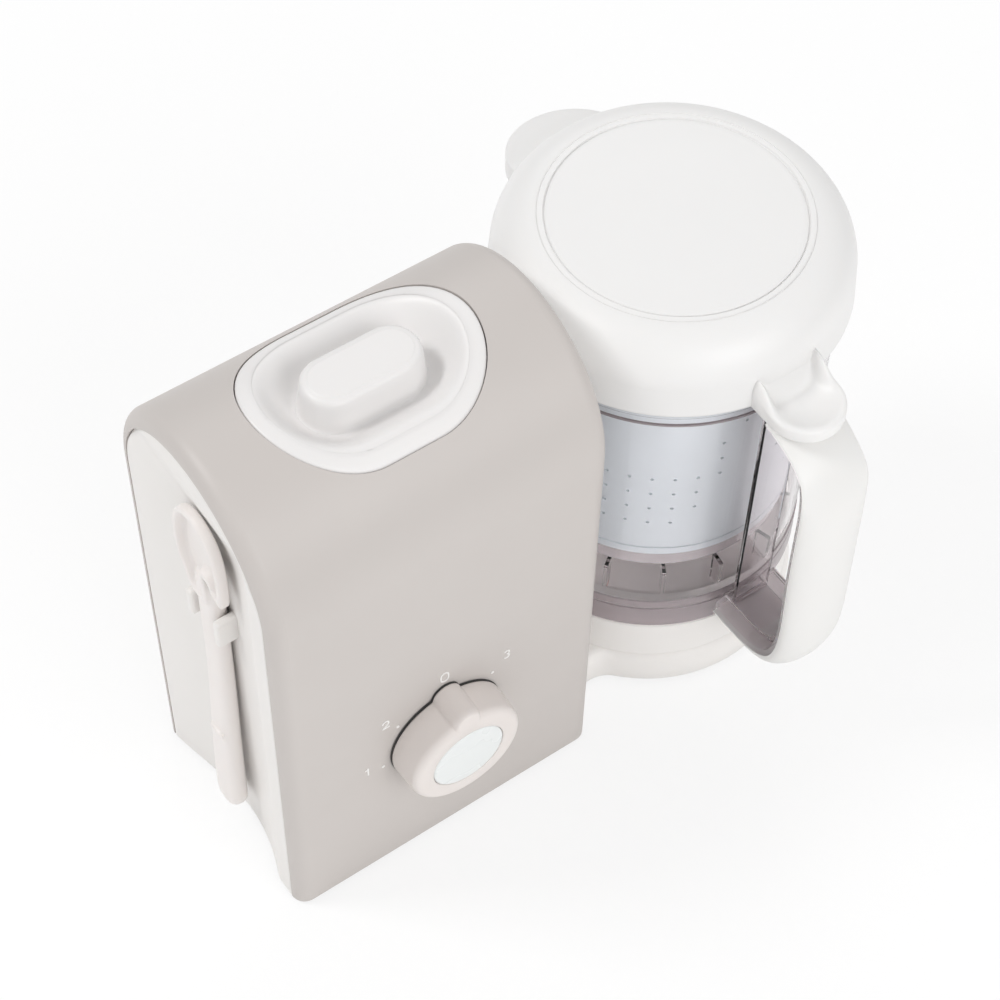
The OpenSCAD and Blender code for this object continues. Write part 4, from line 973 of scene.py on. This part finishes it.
basket = {
    "radius": 56.5,
    "floor": 87.6,
    "corner": 1.4,
    "straightTop": 178.1,
    "top": 181.1,
    "flare": 2.0,
    "wall": 1.8,
    # the bowl's own rim below its floor, and the foot ring under it, in (radius, height)
    "skirt": [(56.0, 83.4), (56.4, 83.8), (56.4, 87.55), (54.7, 87.55), (54.7, 83.4)],
    "foot": [(55.1, 75.2), (55.1, 83.35), (53.6, 83.35), (53.6, 75.2)],
    "centre": 0.5,
    "floorRows": (4, 49, 6),
    "columns": 40,
    "pitch": 9.4,          # between rows of holes
    "firstRow": 105.4,
    "wallRows": 7,
    "topRow": 6.0,         # height of the plain row under the flare
    "hole": 0.75,          # radius
    "dip": (26.0, 2.3),    # degrees from a fold where the band of holes starts to rise, and how steeply
    "band": (24.0, 32.0),  # its height at a fold and between two folds
}


def basketPoint(angle, along):
    # A point of the outside, by its way from the centre of the floor outwards and then up
    flat = basket["radius"] - basket["corner"]
    bend = basket["corner"] * pi / 2
    if along <= flat:
        r, z = along, basket["floor"]
    elif along <= flat + bend:
        a = (along - flat) / basket["corner"]
        r, z = flat + basket["corner"] * sin(a), basket["floor"] + basket["corner"] * (1 - cos(a))
    else:
        z = basket["floor"] + basket["corner"] + along - flat - bend
        flared = max(0.0, z - basket["straightTop"]) / (basket["top"] - basket["straightTop"])
        r = basket["radius"] + basket["flare"] * flared
    return (r * sin(angle), -r * cos(angle), z)


def wallHole(degreesRound, z):
    # The holes lie in a band that dips and rises four times round the bowl
    fold = abs((degreesRound + 45) % 90 - 45)
    start, slope = basket["dip"]
    low = basket["firstRow"] - 1 + max(0.0, start - fold) * slope
    return low <= z <= low + mix(*basket["band"], fold / 45)


def basketSkin():
    # A grid of cells; the border of a holed one is joined to the edge of its hole
    flat = basket["radius"] - basket["corner"]
    bend = basket["corner"] * pi / 2
    lift = flat + bend - basket["floor"] - basket["corner"]     # from height to way along the wall
    first = basket["firstRow"] - basket["pitch"] / 2 + lift
    floorRows = spread(*basket["floorRows"])
    wallRows = [first + i * basket["pitch"] for i in range(basket["wallRows"] + 1)]
    straightTop = basket["straightTop"] + lift
    rows = [basket["centre"]] + floorRows + [flat, flat + bend / 2, flat + bend] + wallRows
    rows += [straightTop - basket["topRow"], straightTop, basket["top"] + lift]
    step = 2 * pi / basket["columns"]
    grid = [(i, j) for j in range(5) for i in range(5)]
    border = [(i, 0) for i in range(4)] + [(4, j) for j in range(4)]
    border += [(4 - i, 4) for i in range(4)] + [(0, 4 - j) for j in range(4)]
    points, faces = [], []
    for low, high in zip(rows, rows[1:]):
        middle = (low + high) / 2
        onWall, onFloor = low in wallRows[:-1], low in floorRows[2:-1]
        width = step * (middle if onFloor else basket["radius"])
        for column in range(basket["columns"]):
            start, around = len(points), column * step
            holed = onWall and wallHole(degrees(around + step / 2), middle - lift)
            holed = holed or (onFloor and column % 2)
            points += [basketPoint(around + i * step / 4, mix(low, high, j / 4))
                       for i, j in (border if holed else grid)]
            if not holed:
                faces += [tuple(start + j * 5 + i + k for k in (0, 1, 6, 5))
                          for i, j in grid if max(i, j) < 4]
                continue
            for a in [radians(225 + k * 22.5) for k in range(16)]:
                points.append(basketPoint(around + step * (0.5 + basket["hole"] * cos(a) / width),
                                          middle + basket["hole"] * sin(a)))
            faces += [(start + k, start + (k + 1) % 16, start + 16 + (k + 1) % 16, start + 16 + k)
                      for k in range(16)]
    return points, faces


steamBasket = makePiece("steamBasket", [basketSkin()], "basket", "basketPp",
                        ("steam_basket",), crease=50)
addModifier(steamBasket, "SOLIDIFY", thickness=basket["wall"] * mm, offset=-1)
makePiece("basketSkirt", [lathe(basket["skirt"])], "basket", "basketPp")
makePiece("basketFoot", [lathe(basket["foot"])], "basket", "basketFootPp")
print("basket built")


# ---- clear rings of the jug: a bead at its neck and two bands at its foot ----

ribs = {
    "beadZ": (178.6, 180.0),
    "beadRadius": (65.84, 66.5),
    "spoutHalf": 22.0,     # half of the bead's gap at the spout, in degrees
    "bandZ": ((40.4, 52.4), (53.0, 57.9)),
    "bandRadius": (62.84, 63.25),
    "edge": 0.3,           # taken off the outer edges
}


def ribSection(radii, heights):
    inside, outside = radii
    low, high = heights
    return [(inside, low), (outside, low + ribs["edge"]), (outside, high - ribs["edge"]), (inside, high)]


# The neck bead wears a dark tint, a painted shade of the line the clear bead shows edge on
def neckBead():
    # Stops on either side of the spout
    gap = radians(ribs["spoutHalf"])
    rings = [[(r * sin(a), r * cos(a), z) for r, z in ribSection(ribs["beadRadius"], ribs["beadZ"])]
             for a in spread(gap, 2 * pi - gap, 140)]
    return skin(rings, capFirst=True, capLast=True)


makePiece("neckBead", [neckBead()], "jug", "clearBead")
# The foot bands are tinted darker than the jug: painted shade of the jug's foot
footBands = [lathe(ribSection(ribs["bandRadius"], heights)) for heights in ribs["bandZ"]]
makePiece("footBands", footBands, "jug", "clearBand")
print("clear rings built")


# ---- light and floor ----

studio = {
    "white": (1, 1, 1, 1),
    "worldStrength": 0.56,
    "lamps": {             # place and size in metres, power in watts
        "keyPanel": ((-1.1, 0.7, 1.8), 0.5, 13.5),
        "fillPanel": ((0.1, -1.6, 1.1), 1.2, 13.0),
        "backPanel": ((0.9, 1.3, 1.3), 1.2, 4.5),
    },
    "lampsAim": (0, 0, 0.1),
    "floorHalf": 4,
    "shadowShare": 0.25,   # how much of the floor shows shaded light instead of plain white
    "paperNear": 0.3,      # metres from the object at which that share begins to fade, and ends
    "paperFar": 0.9,
}


def directlySeen(tree):
    # One for what the camera sees by itself or through clear plastic, otherwise none
    rays = [addNode(tree, "LightPath", output=kind) for kind in ("Is Camera Ray", "Is Transmission Ray")]
    return addNode(tree, "Math", links={0: rays[0], 1: rays[1]}, operation="MAXIMUM")


def makeWorld():
    world = bpy.data.worlds.new("studioWorld")
    scene.world = world
    world.use_nodes = True
    tree = world.node_tree
    back = tree.nodes["Background"].inputs
    back["Color"].default_value = studio["white"]
    strength = {"To Min": studio["worldStrength"], "To Max": 1.0}
    tree.links.new(addNode(tree, "MapRange", strength, {"Value": directlySeen(tree)}), back["Strength"])


def makeLamp(name, place, size, power):
    data = bpy.data.lights.new(name, "AREA")
    data.size = size
    data.energy = power
    obj = addObject(name, data)
    obj.location = place
    aim = Vector(studio["lampsAim"]) - Vector(place)
    obj.rotation_euler = aim.to_track_quat("-Z", "Y").to_euler()


def paperMaterial():
    # White paper, of which the camera mostly sees plain white
    mat, tree, _, place = newMaterial("seamless paper, matt white", {})
    away = addNode(tree, "VectorMath", {}, {"Vector": place}, "Value", operation="LENGTH")
    fade = {"From Min": studio["paperNear"], "From Max": studio["paperFar"],
            "To Min": 1 - studio["shadowShare"], "To Max": 1.0}
    plain = addNode(tree, "MapRange", fade, {"Value": away})
    share = addNode(tree, "Math", {}, {0: directlySeen(tree), 1: plain}, operation="MULTIPLY")
    paper = addNode(tree, "BsdfDiffuse", {"Color": studio["white"]})
    glow = addNode(tree, "Emission", {"Color": studio["white"], "Strength": 1.0})
    blend = addNode(tree, "MixShader", {}, {0: share, 1: paper, 2: glow})
    tree.links.new(blend, tree.nodes["Material Output"].inputs["Surface"])
    return mat


def makeFloor():
    mesh = bpy.data.meshes.new("studioFloor")
    half = studio["floorHalf"]
    outline = [(-half, -half, 0), (half, -half, 0), (half, half, 0), (-half, half, 0)]
    mesh.from_pydata(outline, [], [(0, 1, 2, 3)])
    mesh.materials.append(paperMaterial())
    addObject("studioFloor", mesh)


makeWorld()
for lampName, lampValues in studio["lamps"].items():
    makeLamp(lampName, *lampValues)
makeFloor()
print("studio lit")
